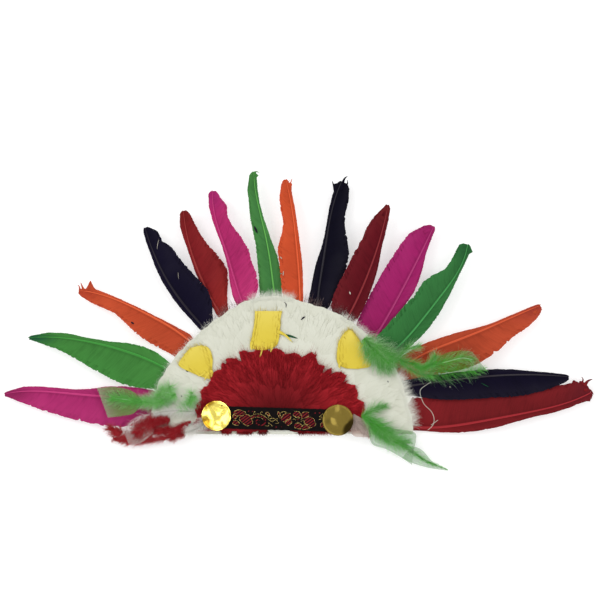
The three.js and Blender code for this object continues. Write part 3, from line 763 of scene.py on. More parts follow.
def fanBed(name, node, centre, inner, across, along, drop, pleats, pleatDepth, thickness, ragged, lowest,
           seed, splits=()):
    # The fan's body: follows the rim of the frame's fan, pleated where its feathers overlap
    rng = np.random.default_rng(seed)
    angles = np.linspace(-1.5, 181.5, 125)
    rim = rimOf(node, centre, angles)
    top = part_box(node)[1].z / mm
    piece, u, v = makeGrid(name, across, along)
    angle = angles[0] + (angles[-1] - angles[0]) * (1 - (u + 1) / 2)
    share = inner + (1 - inner) * (1 - (1 - v) ** 2)
    reach = np.interp(angle, angles, rim)
    wobble = rng.normal(0, ragged, across + 1)[((u + 1) / 2 * across).round().astype(int)]
    for at, half, depth in splits:
        wobble = wobble - depth * np.clip(1 - np.abs(angle - at) / half, 0, 1)
    distance = reach * (share + wobble * v ** 4)
    xy = polar(centre, angle, distance)
    xy = keptAbove(xy, lowest)
    z = top - drop - pleatDepth * np.abs(np.sin(np.radians(angle) * pleats)) * v
    shapeGrid(piece, np.column_stack([xy, z]), np.full(len(z), 0.5), thickness)
    layer = piece.data.uv_layers["UVMap"].data
    flatUv = np.zeros(len(layer) * 2, np.float32)
    layer.foreach_get("uv", flatUv)
    flatUv[0::2] *= 16
    layer.foreach_set("uv", flatUv)
    return piece, angles, rim, top


# White fan: a smooth half disc of short feathers glued flat, with fluff past its rim in places

whiteLook = {
    "bed": {"inner": 0.12, "across": 180, "along": 16, "drop": 0.35, "pleats": 13, "pleatDepth": 0.05,
            "thickness": 1.1, "ragged": 0.0015, "lowest": -14.9, "seed": 12},
    "colours": ((192, 193, 176), (207, 208, 193), (217, 218, 205)),
    # Layers of feathers: start and end as shares of the fan's reach, count, height from its top
    "layers": ((0.58, 0.99, 27, -0.3), (0.48, 0.9, 21, -0.2), (0.4, 0.76, 17, -0.1)),
    "aims": (9, 171), "uneven": 1.5, "sector": 170, "lengths": (0.93, 1.0), "widths": (1.7, 2.3),
    "turn": 7, "roll": 0.12, "tint": (0.45, 0.65), "shortAt": (), "lowest": -13.6,
    "hairs": 700, "hairLength": (8, 20),
    # Fluff past the rim: from angle, to angle, hairs, their reach
    "rimFluff": ((118, 152, 420, (3, 8)), (86, 104, 620, (6, 11)), (152, 176, 200, (3, 7)),
                 (44, 64, 380, (5, 11)), (4, 28, 760, (6, 14)), (64, 86, 40, (2, 5)),
                 (105, 118, 80, (3, 6)), (28, 44, 80, (2, 6))),
    # Fluff along the lower edge: spans in the photograph's frame and the hairs of each
    "lowerSpans": ((150, 236), (236, 268), (262, 292), (286, 300), (322, 352)),
    "lowerHairs": (420, 160, 330, 120, 300),
    # A stray white fibre that curls over the feathers at the right
    "fibres": ([(431, 382), (422, 388), (420, 393), (424, 404), (431, 411), (434, 418), (433, 425),
                (427, 431)],
               [(431, 425), (434, 423), (438, 420)]),
}

rng = np.random.default_rng(11)
whiteBed, rimAngles, rim, whiteTop = fanBed("white_bed", "white_feather_fan", fanCentre, **whiteLook["bed"])
whiteTemplate = shortFeatherTemplate("short_white", across=8, along=12, ragged=0.05, dome=0.004, seed=21)
layers = fanLayers(rng, "white_layer", whiteTemplate, fanCentre, rimAngles, rim, whiteTop, whiteLook)
paths, radii = fanHairs(rng, whiteLook["hairs"], fanCentre, rimAngles, rim, fromShare=0.45, toShare=0.93,
                        length=whiteLook["hairLength"], level=whiteTop - 0.14, spread=16, radius=0.06,
                        over=0.18)
hairs = [strands("white_hairs", paths, radii, rng.uniform(0.5, 0.9, len(paths)))]
for low, high, count, reach in whiteLook["rimFluff"]:
    window = np.linspace(low, high, 12)
    paths, radii = fanHairs(rng, count, fanCentre, window, np.interp(window, rimAngles, rim),
                            fromShare=0.965, toShare=0.995, length=reach, level=whiteTop - 0.4, spread=20,
                            radius=0.08, over=1.0)
    hairs.append(strands("white_rim_hairs", paths, radii, thinTint(rng, 0.5, 1, paths)))
paths, radii = lowerFluff(rng, whiteLook["lowerSpans"], whiteLook["lowerHairs"], whiteTop - 1.2)
hairs.append(strands("white_lower_hairs", paths, radii, thinTint(rng, 0.5, 1, paths)))
for line in whiteLook["fibres"]:
    hairs.append(placedStrand("white_fibre", line, whiteTop + 0.6, np.full(24, 0.22), 0.8, 5))
whiteFan = joined("white_fan_feathers", [whiteBed, *layers, *hairs])
# The glow on the white fan's thin hairs is painted light
whiteDye = fluffFinish("white_feather_fluff", whiteLook["colours"], grooveShade=0.1, thin=0.35, paintedGlow=0.3)
bpy.data.objects.remove(whiteTemplate)
dress(whiteFan, whiteDye, "white_feather", "white_feather_fan")
print("white fan done")


# See-through greyish-brown fluff at the roots of the quill feathers, in the gaps that the white fan leaves:
# painted shade between the feathers' bases.
# Each gap runs between two places of the photograph's frame along the rim

rootShadeLook = {
    "colours": ((122, 96, 96), (152, 130, 126), (190, 176, 170)),
    "reach": (5, 12), "radius": 0.1,
    # Each gap: from, to, hairs
    "gaps": (((212, 315), (238, 299), 150), ((304, 297), (322, 302), 90), ((330, 304), (354, 318), 120),
             ((396, 338), (410, 352), 70), ((408, 360), (418, 392), 110)),
}

rng = np.random.default_rng(29)
parts = []
for start, end, count in rootShadeLook["gaps"]:
    ends = fromPhoto([start, end]) - fanCentre
    low, high = sorted(np.degrees(np.arctan2(ends[:, 1], ends[:, 0])))
    window = np.linspace(low, high, 8)
    paths, radii = fanHairs(rng, count, fanCentre, window, np.interp(window, rimAngles, rim),
                            fromShare=0.96, toShare=1.02, length=rootShadeLook["reach"],
                            level=whiteTop - 1.0, spread=20, radius=rootShadeLook["radius"], over=0.6)
    parts.append(strands("root_shade_hairs", paths, radii, thinTint(rng, 0.1, 0.9, paths)))
rootShade = joined("quill_root_shade", parts)
dress(rootShade, fluffFinish("root_shade_fluff", rootShadeLook["colours"], thin=0.55), "pale_feather")
print("root shade done")


# Red fan: larger soft feathers with pointed, ragged ends

def clearOf(paths, radii, centre, angles, half):
    # Leave out the hairs whose ends fall in a split between two feathers
    ends = paths[:, -1, :2] - centre
    heading = np.degrees(np.arctan2(ends[:, 1], ends[:, 0]))
    keep = np.all([np.abs(heading - at) > half for at in angles], axis=0)
    return paths[keep], radii[keep]


redLook = {
    "bed": {"inner": 0.12, "across": 200, "along": 12, "drop": 0.5, "pleats": 9, "pleatDepth": 0.05,
            "thickness": 0.7, "ragged": 0.006, "lowest": -13.2, "seed": 32},
    "colours": ((144, 24, 31), (164, 29, 38), (176, 38, 47)),
    "layers": ((0.42, 0.94, 20, -0.45), (0.3, 0.8, 15, -0.35), (0.12, 0.6, 11, -0.25)),
    "aims": (12, 168), "uneven": 2, "sector": 165, "lengths": (0.92, 1.06), "widths": (1.5, 2.0),
    "turn": 6, "roll": 0.15, "tint": (0.35, 0.65), "shortAt": (118.5, 52), "lowest": -13.2,
    # Splits and notches of the rim: angle, half width in degrees, depth as a share of the reach
    "splits": ((118.5, 1.6, 0.2), (52, 1.6, 0.2), (47, 1.2, 0.1), (128, 1.3, 0.08), (36, 1.2, 0.08)),
    "hairs": 3500, "hairLength": (7, 17), "spikes": 46, "spikesFrom": (34, 72), "rimHairs": 900,
    "lowerSpans": ((222, 232), (237, 252), (259, 267), (298, 332)), "lowerHairs": (160, 420, 200, 700),
}

rng = np.random.default_rng(31)
redBed, redAngles, redRim, redTop = fanBed("red_bed", "red_feather_fan", redCentre, **redLook["bed"],
                                           splits=redLook["splits"])
redTemplate = shortFeatherTemplate("short_red", across=10, along=14, ragged=0.06, dome=0.008, seed=33)
layers = fanLayers(rng, "red_layer", redTemplate, redCentre, redAngles, redRim, redTop, redLook)
paths, radii = fanHairs(rng, redLook["hairs"], redCentre, redAngles, redRim, fromShare=0.15, toShare=0.93,
                        length=redLook["hairLength"], level=redTop - 0.3, spread=11, radius=0.11, over=0.4)
hairs = strands("red_hairs", paths, radii, rng.uniform(0.1, 0.9, len(paths)))
window = np.linspace(*redLook["spikesFrom"], 12)
paths, radii = fanHairs(rng, redLook["spikes"], redCentre, window, np.interp(window, redAngles, redRim),
                        fromShare=0.88, toShare=0.97, length=(4, 8), level=redTop - 0.5, spread=9,
                        radius=0.9, over=0.5)
paths, radii = clearOf(paths, radii, redCentre, redLook["shortAt"], 2.0)
spikes = strands("red_spikes", paths, radii, rng.uniform(0.3, 0.7, len(paths)), 4, 0.25)
paths, radii = fanHairs(rng, redLook["rimHairs"], redCentre, redAngles, redRim, fromShare=0.9, toShare=0.985,
                        length=(2, 6), level=redTop - 0.4, spread=14, radius=0.13, over=0.8)
paths, radii = clearOf(paths, radii, redCentre, redLook["shortAt"], 2.0)
rimHairs = strands("red_rim_hairs", paths, radii, rng.uniform(0.3, 0.9, len(paths)))
paths, radii = lowerFluff(rng, redLook["lowerSpans"], redLook["lowerHairs"], redTop - 1.4)
lowerHairs = strands("red_lower_hairs", paths, radii, rng.uniform(0.3, 0.9, len(paths)))
redFan = joined("red_fan_feathers", [redBed, *layers, hairs, spikes, rimHairs, lowerHairs])
redDye = fluffFinish("red_feather_fluff", redLook["colours"], grooveShade=0.15, shadow=1.0)
bpy.data.objects.remove(redTemplate)
dress(redFan, redDye, "red_feather", "red_feather_fan")
print("red fan done")


# Yellow feathers on the white fan: a short vane with split barbs at its lower end

yellowLook = {
    "colours": ((208, 186, 62), (219, 198, 78), (228, 211, 106)),
    "thickness": 0.6, "hairs": 420, "hairLength": (3, 8), "hairRadius": 0.12,
}


def addYellow(node, outline, aim, seed, spikes=()):
    rng = np.random.default_rng(seed)
    edges = fromPhoto(outline)
    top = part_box(node)[1].z / mm
    piece, u, v = makeGrid(node + "_vane", 10, 24)
    side = (u + 1) / 2
    half = len(edges) // 2
    leftEdge = alongPath(edges[:half], v)
    rightEdge = alongPath(edges[half:][::-1], v)
    xy = leftEdge * (1 - side)[:, None] + rightEdge * side[:, None]
    z = top - 0.5 + 0.5 * (1 - u ** 2)
    shapeGrid(piece, np.column_stack([xy, z]), np.full(len(z), 0.4), yellowLook["thickness"])
    count = yellowLook["hairs"]
    at = rng.integers(0, len(xy), count)
    roots = xy[at]
    heading = np.radians(aim + rng.normal(0, 14, count))
    reach = rng.uniform(*yellowLook["hairLength"], count)
    steps = np.linspace(0, 1, 4)
    pathXy = roots[:, None] + towards(heading)[:, None] * (reach[:, None] * steps)[..., None] * 0.8
    pathZ = top - 0.26 + 0.27 * np.sin(np.pi * steps)[None] * rng.uniform(0.3, 1, count)[:, None]
    paths = np.concatenate([pathXy, pathZ[..., None]], -1)
    radii = yellowLook["hairRadius"] * (1 - 0.7 * steps)[None] * np.ones((count, 1))
    hairs = strands(node + "_hairs", paths, radii, rng.uniform(0.2, 0.8, count))
    parts = [piece, hairs]
    for line in spikes:
        parts.append(placedStrand(node + "_spike", line, top - 0.1, np.linspace(2.1, 0.4, 6), 0.6, 6, 0.15))
    made = joined(node + "_feather", parts)
    dye = fluffFinish(node + "_dye", yellowLook["colours"], grooveShade=0.12)
    dress(made, dye, "yellow_feather", node)


addYellow("yellow_feather_left",
          [(209, 379), (202, 377), (190, 372), (178.5, 365), (184, 355), (190, 348),
           (202, 345), (209, 348.5), (212.5, 357), (212.5, 365), (212, 372), (210, 379)], 122, 41,
          spikes=([(209, 372), (207, 376), (204, 381)], [(206, 371), (202, 375), (197, 376)],
                  [(211, 370), (212, 374), (211, 378)]))
addYellow("yellow_feather_centre",
          [(256, 350), (250.5, 347), (252, 336), (254, 325), (255, 311),
           (282, 311), (280.5, 320), (280, 330), (277, 345), (266, 350)], 88, 42,
          spikes=([(263, 342), (262, 350), (259.5, 358)], [(277, 331), (285, 335), (293, 343)],
                  [(252, 342), (251, 347), (252, 351)], [(272, 342), (272, 348), (270, 353)]))
addYellow("yellow_feather_right",
          [(346, 368.5), (338, 364), (337, 352), (339, 341), (345, 332), (348.5, 329.5),
           (353, 332), (359, 339), (361, 343), (366, 346), (371, 365), (358, 369)], 110, 43,
          spikes=([(342, 362), (339, 366), (341, 369)], [(362, 346), (365, 343), (366, 341)]))
print("yellow feathers done")


# Plumes and tufts: fine hairs grown from stems, laid on the frame's solids

def growHairs(rng, tree, stem, count, lengths, angles, radius, rise, fallback):
    # Hairs leave the stem at an angle to either side and bend forwards along it
    line = fromPhoto(stem)
    share = rng.uniform(0, 1, count)
    root = alongPath(line, share)
    step = unit(alongPath(line, np.minimum(share + 0.02, 1)) - alongPath(line, np.maximum(share - 0.02, 0)))
    base = np.arctan2(step[:, 1], step[:, 0])
    side = rng.choice([-1.0, 1.0], count)
    lean = np.radians(rng.uniform(*angles, count)) * side
    reach = np.interp(share, np.linspace(0, 1, len(lengths)), lengths) * rng.uniform(0.3, 1.15, count)
    steps = np.linspace(0, 1, 5)
    heading = base[:, None] + lean[:, None] * (1 - 0.5 * steps) + rng.normal(0, 0.4, count)[:, None] * steps
    xy = bentLines(root, heading, reach)
    level = np.array([topAt(tree, p) or 0 for p in root])
    level = np.where(level == 0, fallback, level)
    z = level[:, None] - 0.6 + rng.uniform(0, rise, count)[:, None] * np.sin(np.pi * (0.15 + 0.75 * steps))
    paths = np.concatenate([xy, z[..., None]], -1)
    radii = radius * rng.uniform(0.7, 1.3, count)[:, None] * (1 - 0.8 * steps)
    return paths, radii


def thinVane(name, tree, edges, fallback):
    # A see-through vane between two edges, each listed from base to tip
    piece, u, v = makeGrid(name, 8, 20)
    side = ((u + 1) / 2)[:, None]
    first, second = [alongPath(fromPhoto(edge), v) for edge in edges]
    xy = first * (1 - side) + second * side
    found = [topAt(tree, p) for p in xy]
    known = [level for level in found if level is not None]
    level = np.mean(known) if known else fallback
    z = level - 1.0 + 0.5 * (1 - u ** 2) + 0.25 * np.sin(v * 9)
    shapeGrid(piece, np.column_stack([xy, z]), np.full(len(z), thinMark + 0.05), 0.25)
    return piece


def addPlume(node, slot, stems, finish, seed, vanes=()):
    # Each stem: its line in the photograph's frame, its hairs, their lengths along it, the range of
    # their angles to it, how high they rise, their radius, and the range of their tones
    name = node + "_down"
    rng = np.random.default_rng(seed)
    tree = treeOf(node)
    low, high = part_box(node)
    fallback = (low.z + high.z) / 2 / mm
    parts = []
    for row in stems:
        paths, radii = growHairs(
            rng, tree, row["stem"], row["count"], row["lengths"], row["angles"], row["radius"], row["rise"],
            fallback)
        tint = rng.uniform(*row.get("tint", (0, 1)), len(paths))
        parts.append(strands(name + "_hairs", paths, radii, tint))
        if row.get("quill"):
            shares = np.linspace(0, 1, 20)
            line = alongPath(fromPhoto(row["stem"]), shares)
            level = np.array([topAt(tree, p) or fallback for p in line])
            path = np.column_stack([line, level])[None]
            radius = np.interp(shares, [0, 1], [row["quill"], 0.2])[None]
            parts.append(strands(name + "_quill", path, radius, np.array([0.9]), 6))
    for edges in vanes:
        parts.append(thinVane(name + "_vane", tree, edges, fallback))
    dress(joined(name, parts), finish, slot, node)


greenFluff = fluffFinish("green_plume_fluff", ((78, 178, 58), (128, 212, 100), (230, 242, 222)),
                         grooveShade=0.1, ends=0.9, thin=0.72, veil=0.42)
paleGreenFluff = fluffFinish("green_plume_left_fluff", ((104, 198, 84), (150, 222, 126), (236, 246, 230)),
                             grooveShade=0.1, ends=0.9, thin=0.66, veil=0.4)
redFluff = fluffFinish("red_tuft_fluff", ((156, 24, 34), (184, 44, 52), (220, 140, 138)), ends=0.55)
whiteFluff = fluffFinish("white_tuft_fluff", ((232, 230, 222), (244, 243, 238), (250, 249, 247)), thin=0.88)
paleFluff = fluffFinish("pale_feather_fluff", ((192, 170, 160), (218, 202, 194), (236, 226, 218)), thin=0.5)

addPlume("green_plume_upper_right", "green_plume", [
    dict(stem=[(364, 338), (372, 347), (382, 356), (392, 361)], count=1500, lengths=(14, 22, 22, 16),
         angles=(8, 115), rise=4, quill=0.4, tint=(0.1, 0.9), radius=0.11),
    dict(stem=[(364, 345), (372, 355), (382, 364), (390, 368)], count=900, lengths=(12, 16, 18, 14),
         angles=(8, 100), rise=3, tint=(0.0, 0.6), radius=0.11),
    dict(stem=[(380, 346), (390, 354), (398, 359.5), (414, 364), (424, 367.5), (433, 364)], count=1100,
         lengths=(12, 14, 12, 12, 13, 11), angles=(20, 85), rise=3.5, quill=0.5, tint=(0, 0.8), radius=0.09),
    dict(stem=[(396, 361), (402, 354), (410, 348), (420, 346)], count=600,
         lengths=(9, 11, 12, 8), angles=(10, 80), rise=2, tint=(0.1, 0.9), radius=0.08),
    dict(stem=[(400, 362), (410, 369), (420, 374), (432, 376)], count=600,
         lengths=(8, 10, 11, 8), angles=(10, 80), rise=2, tint=(0.1, 0.9), radius=0.08),
    dict(stem=[(414, 366), (422, 368), (431, 364), (436, 356)], count=700,
         lengths=(8, 12, 13, 10), angles=(10, 75), rise=3, tint=(0.0, 0.7), radius=0.1),
    dict(stem=[(430, 366), (446, 362), (462, 358), (474, 360)], count=500,
         lengths=(16, 15, 14, 9), angles=(22, 62), rise=1.5, quill=0.3, tint=(0.1, 0.8), radius=0.08),
    dict(stem=[(420, 374), (440, 374), (462, 371), (486, 369)], count=420,
         lengths=(12, 20, 17, 6), angles=(-85, -35), rise=1.5, tint=(0, 0.5), radius=0.1),
], greenFluff, 51, vanes=[
    ([(430, 372), (450, 372), (470, 371), (487, 371)], [(438, 357), (450, 352), (462, 350.5), (472, 351.5)]),
])
addPlume("green_plume_lower_right", "green_plume", [
    dict(stem=[(362, 416), (370, 421), (380, 428), (388, 434)], count=1100, lengths=(10, 18, 20, 13),
         angles=(10, 75), rise=3, quill=0.5, tint=(0, 0.7), radius=0.12),
    dict(stem=[(361, 417), (370, 412), (378, 408), (385, 406)], count=520, lengths=(13, 15, 12, 8),
         angles=(10, 70), rise=2, tint=(0.1, 0.9), radius=0.1),
    dict(stem=[(372, 425), (380, 433), (392, 440), (406, 444)], count=1300, lengths=(12, 16, 18, 14),
         angles=(15, 95), rise=2, tint=(0.1, 0.8), radius=0.12),
    dict(stem=[(398, 444), (412, 452), (426, 461), (447, 469.5)], count=700,
         lengths=(16, 13, 8, 2), angles=(10, 42), rise=2, quill=0.5, tint=(0.1, 0.8), radius=0.1),
], greenFluff, 52, vanes=[
    ([(368, 428), (372, 444), (386, 449), (402, 458), (412, 465)],
     [(372, 420), (392, 428), (414, 432), (416, 440), (414, 448)]),
    ([(402, 458), (412, 463), (430, 468), (448, 470.5)], [(412, 446), (422, 450), (434, 463), (448, 469.5)]),
])
addPlume("green_plume_left", "green_plume", [
    dict(stem=[(196, 396), (190, 402), (184, 408), (178, 410)], count=420, lengths=(12, 14, 12, 9),
         angles=(15, 120), rise=2, tint=(0.2, 1), radius=0.09),
    dict(stem=[(176, 394), (168, 398), (158, 402), (148, 402), (140, 402)], count=1600,
         lengths=(12, 15, 15, 12, 9), angles=(15, 110), rise=2.5, quill=0.4, tint=(0.0, 0.9), radius=0.11),
    dict(stem=[(146, 402), (134, 401), (122, 399), (112, 398)], count=900, lengths=(10, 16, 15, 10),
         angles=(15, 75), rise=2, quill=0.4, tint=(0, 0.6), radius=0.09),
    dict(stem=[(160, 404), (165, 396), (170, 386)], count=700, lengths=(12, 17, 14), angles=(20, 150),
         rise=2, tint=(0.2, 1), radius=0.08),
    dict(stem=[(150, 404), (158, 396), (164, 388)], count=500, lengths=(9, 14, 11), angles=(20, 150),
         rise=2, tint=(0.2, 1), radius=0.08),
    dict(stem=[(188, 412), (190, 402), (192, 392)], count=420, lengths=(9, 12, 12), angles=(20, 170),
         rise=2, tint=(0.2, 0.9), radius=0.08),
], paleGreenFluff, 53, vanes=[
    ([(142, 400), (132, 391), (114, 387), (97, 388)], [(142, 404), (134, 413), (122, 416), (108, 417.5)]),
])
addPlume("red_side_tuft", "red_feather", [
    dict(stem=[(191, 421), (184, 426), (177, 431), (172, 436)], count=760,
         lengths=(2, 9, 12, 9), angles=(10, 80), rise=3.5, radius=0.29, tint=(0, 0.7)),
    dict(stem=[(170, 420), (158, 421), (147, 425), (136, 433)], count=1600,
         lengths=(6, 12, 16, 11), angles=(10, 100), rise=4.5, radius=0.29, tint=(0, 0.8)),
    dict(stem=[(152, 436), (138, 439), (124, 437), (110, 429)], count=1150,
         lengths=(9, 11, 12, 9), angles=(5, 60), rise=2.5, radius=0.27, tint=(0, 0.9)),
    dict(stem=[(186, 435), (170, 437), (150, 440), (130, 441), (114, 439)], count=1100,
         lengths=(6, 8, 9, 9, 6), angles=(10, 75), rise=2, radius=0.27, tint=(0.1, 1)),
    dict(stem=[(176, 430), (164, 431), (150, 432), (140, 430)], count=650,
         lengths=(9, 11, 11, 9), angles=(10, 90), rise=3, radius=0.27, tint=(0, 0.7)),
    dict(stem=[(148, 436), (136, 436), (125, 435), (116, 431)], count=620,
         lengths=(8, 10, 10, 8), angles=(10, 90), rise=2.5, radius=0.27, tint=(0, 0.8)),
], redFluff, 54)
addPlume("white_side_tuft", "white_feather", [
    dict(stem=[(214, 414), (206, 422), (198, 428), (188, 432)], count=900,
         lengths=(11, 13, 12, 9), angles=(15, 95), rise=3, radius=0.1),
    dict(stem=[(196, 412), (184, 411), (170, 411), (154, 414)], count=700,
         lengths=(12, 12, 9, 6), angles=(15, 90), rise=2.5, radius=0.1),
    dict(stem=[(150, 414), (138, 418), (128, 426), (122, 434)], count=110,
         lengths=(8, 9, 8, 5), angles=(10, 70), rise=4.0, radius=0.08),
], whiteFluff, 55, vanes=[
    ([(154, 432), (144, 441), (134, 445), (128, 443)], [(152, 420), (141, 416), (131, 421), (124, 431)]),
])
addPlume("pale_side_feather", "pale_feather", [
    dict(stem=[(352, 416), (358, 424), (364, 432), (369, 437)], count=500,
         lengths=(7, 9, 8, 4), angles=(15, 60), rise=0.9, radius=0.12),
], paleFluff, 56, vanes=[
    ([(350, 418), (350, 428), (354, 436), (366, 437)], [(354, 414), (364, 420), (372, 428), (372, 436)]),
])


# Stray barbs stuck here and there. Each row: what it lies on, its line in the photograph's frame and
# its half width

def addStrays(name, slot, colour, rows):
    parts = []
    for node, line, width in rows:
        tree = treeOf(node)
        found = [topAt(tree, p) for p in alongPath(fromPhoto(line), np.linspace(0, 1, 8))]
        level = max([top for top in found if top is not None], default=whiteTop) + 0.35
        breadth = width * np.sin(np.pi * np.linspace(0.08, 0.92, 8))
        parts.append(placedStrand(name + "_barb", line, level, breadth, 0.2, 6, 0.35))
    piece = joined(name, parts)
    made = Finish(name + "_dye", roughness=0.8, Specular_IOR_Level=0.1)
    drift = made.noise(made.place(), 900.0, 2.0, 0.6)
    made.give("Base Color", made.mix(drift * 0.5, colour, (0.01, 0.01, 0.012, 1)))
    made.bump(drift, 0.3, 0.1)
    dress(piece, made.material, slot)


addStrays("stray_green_barbs", "green_feather", srgb(22, 84, 50), [
    ("white_feather_fan", [(281, 334.5), (288, 335.5), (298, 338.5)], 1.3),
    ("quill_feather_14_navy", [(481, 383), (485, 385), (489, 387)], 0.4),
])
addStrays("stray_dark_barbs", "navy_feather", srgb(30, 24, 40), [
    ("white_feather_fan", [(301, 320), (303, 318), (305.5, 316.5)], 0.9),
    ("white_feather_fan", [(284, 302), (286, 304), (286, 308)], 0.5),
    ("white_feather_fan", [(181, 395.5), (182, 397)], 0.6),
    ("white_feather_fan", [(387.5, 381), (388.5, 382.5)], 0.6),
    ("yellow_feather_left", [(186, 370.5), (188, 371.5)], 0.8),
    ("quill_feather_07_green", [(254, 226), (255.5, 229), (257.5, 233.5)], 1.1),
    ("quill_feather_03_orange", [(131, 322), (134, 324)], 1.0),
])
addStrays("stray_pale_barbs", "white_feather", srgb(214, 206, 190), [
    ("quill_feather_10_red", [(349.5, 291.5), (350.5, 294.5)], 0.8),
    ("quill_feather_14_navy", [(449.5, 386.5), (450.5, 387.5)], 0.5),
    ("quill_feather_04_navy", [(159, 239), (157.5, 245), (157, 250)], 0.22),
    ("quill_feather_04_navy", [(178, 272), (178.5, 279)], 0.18),
    ("quill_feather_08_orange", [(280, 256.5), (282, 259)], 0.5),
    ("quill_feather_08_orange", [(283.5, 271), (283, 276)], 0.5),
    ("red_side_tuft", [(145, 425), (150, 430), (155, 436)], 0.4),
])
print("plumes and strays done")


# Woven ribbon: a thin band with a slight wave, raised red petals and gold outlines

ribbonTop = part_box("woven_ribbon")[1].z / mm
ribbonTurn = math.radians(-1.7)
ribbonSize = (122.0, 22.3)
ribbonLook = {
    "shift": -0.9, "thickness": 0.7,
    "ground": ((13, 9, 10), (30, 21, 22)), "red": ((16, 7, 9), (118, 26, 33)),
    "gold": ((84, 66, 30), (222, 196, 112)), "goldRadius": 0.23, "dotRadius": 0.75, "curlRadius": 0.75,
}


def onRibbon(points, level):
    # Points in the ribbon's own plane, measured from its middle
    points = np.asarray(points, float)
    x = points[..., 0] * math.cos(ribbonTurn) - points[..., 1] * math.sin(ribbonTurn)
    y = points[..., 0] * math.sin(ribbonTurn) + points[..., 1] * math.cos(ribbonTurn)
    wave = 0.12 * np.sin(points[..., 0] * 0.16) + 0.06 * np.sin(points[..., 0] * 0.41 + 1)
    return np.stack([x, y + ribbonLook["shift"], level + wave], -1)


band, u, v = makeGrid("ribbon_band", 122, 20)
flat = np.stack([u * ribbonSize[0] / 2, (v - 0.5) * ribbonSize[1]], -1)
flat[:, 1] += 0.12 * np.sin(flat[:, 0] * 0.9) * (np.abs(v - 0.5) * 2) ** 6
edgeRoll = -0.15 * (np.abs(v - 0.5) * 2) ** 10
bandPoints = onRibbon(flat, ribbonTop - 0.35)
bandPoints[:, 2] += edgeRoll
shapeGrid(band, bandPoints, np.zeros(len(u)), ribbonLook["thickness"])
ribbon = joined("woven_ribbon_band", [band])
made = Finish("ribbon_ground", roughness=0.85, Specular_IOR_Level=0.1)
across, along = made.uv()
warp = (across * 2600.0).sine()
weft = (along * 560.0).sine()
dust = made.noise(made.place(), 240.0, 3.0, 0.7)
made.give("Base Color", made.mix(dust.step(0.45, 0.8) * 0.6, *srgbs(ribbonLook["ground"])))
made.bump(warp * 0.5 + weft * 0.5 + dust * 0.3, 0.6, 0.12)
dress(ribbon, made.material, "woven_ribbon", "woven_ribbon")

# Pattern, in millimetres from the ribbon's middle. Petals: centre, half length, half width, turn
petals = [
    (-38, 4.8, 6.2, 3.0, 0), (-31, -1.6, 7.4, 5.0, -38), (-41, -5.2, 3.6, 2.4, -15), (-42, 1.5, 3.0, 2.2, 60),
    (9, 1.8, 5.6, 3.6, 35), (11.5, -3.0, 3.6, 2.8, 40), (20, 5.0, 4.6, 3.0, -25), (27.5, 4.6, 4.8, 3.0, 25),
    (33, -2.2, 6.2, 4.8, -40), (21.4, -6.4, 4.2, 2.9, -10), (29.0, -7.2, 4.6, 2.4, 12),
    (-9.5, 5.0, 2.4, 1.3, -40), (1.6, 5.2, 2.0, 1.3, 90), (2.8, 2.4, 2.2, 1.0, -60), (46, -4.6, 3.0, 2.4, 70),
]
curl = [(-26, 0.2), (-21, 2.2), (-15, 1.8), (-11.5, -1.2), (-12.5, -5.4), (-16.5, -6.8), (-20.5, -4.8),
        (-20, -1.8), (-16.5, -2.2)]
goldLines = [
    [(-26.5, 1.4), (-22, 4.2), (-16, 4.0), (-11, 1.2), (-7, -1.8), (-3.5, -3.6)],
    [(-26, -0.6), (-21, 1.2), (-16, 0.6), (-13.4, -1.8)],
    [(-23.5, 4.6), (-22.5, 6.8), (-21.2, 5.6)], [(-17, 5.0), (-15.4, 7.2), (-14.6, 5.4)],
    [(-12, 3.6), (-10.4, 6.0), (-8.6, 6.4)], [(-9, 0.6), (-7.4, 3.2), (-5.2, 1.4)],
    [(-7.6, -0.4), (-4.0, 0.6), (-1.2, -0.8), (1.0, -2.6)], [(-4.6, -2.6), (-2.2, -1.4), (0.6, 0.4)],
    [(-9, -4.0), (-6.2, -5.6), (-4.4, -7.6)], [(-12, -6.6), (-9.4, -7.6), (-7.4, -5.8)],
    [(-2.0, -4.2), (0.4, -4.6), (2.2, -3.2)], [(4.0, 6.4), (6.6, 7.6), (9.6, 6.6)],
    [(15.6, -0.2), (17.4, 0.4), (18.6, -0.8)], [(16.4, 3.6), (18.0, 3.0), (19.0, 1.6)],
    [(20.4, 3.0), (22.0, 2.2), (22.2, 0.8)], [(25.4, 1.8), (24.4, 0.2), (23.6, -0.6)],
    [(26.6, -0.8), (24.8, -1.4), (23.8, -2.2)], [(21.2, -2.0), (20.2, -3.0), (21.0, -3.8)],
    [(42.0, 3.2), (44.4, 5.2), (46.0, 7.2)], [(42.0, 0.4), (45.0, 1.6), (48.6, 1.8)],
    [(43.6, 3.0), (46.4, 3.6), (48.8, 5.6)],
]
dots = [(-28.4, 6.6), (-24.4, 6.4), (38, 7.0), (42.4, 7.2), (-0.4, -8.4), (5.0, -8.2), (20.8, 0.1)]
turns = np.linspace(0, 2 * np.pi, 15)[:-1]
petalMeshes = []
for px, py, a, b, turn in petals:
    frill = 1 + 0.08 * np.sin(turns * 5)
    x = a * np.cos(turns) * frill
    y = b * np.sin(turns) * frill
    c, s = math.cos(math.radians(turn)), math.sin(math.radians(turn))
    ring = np.stack([px + x * c - y * s, py + x * s + y * c], -1)
    petalMeshes.append(ring)
    goldLines += [ring[0:7], ring[8:14]]


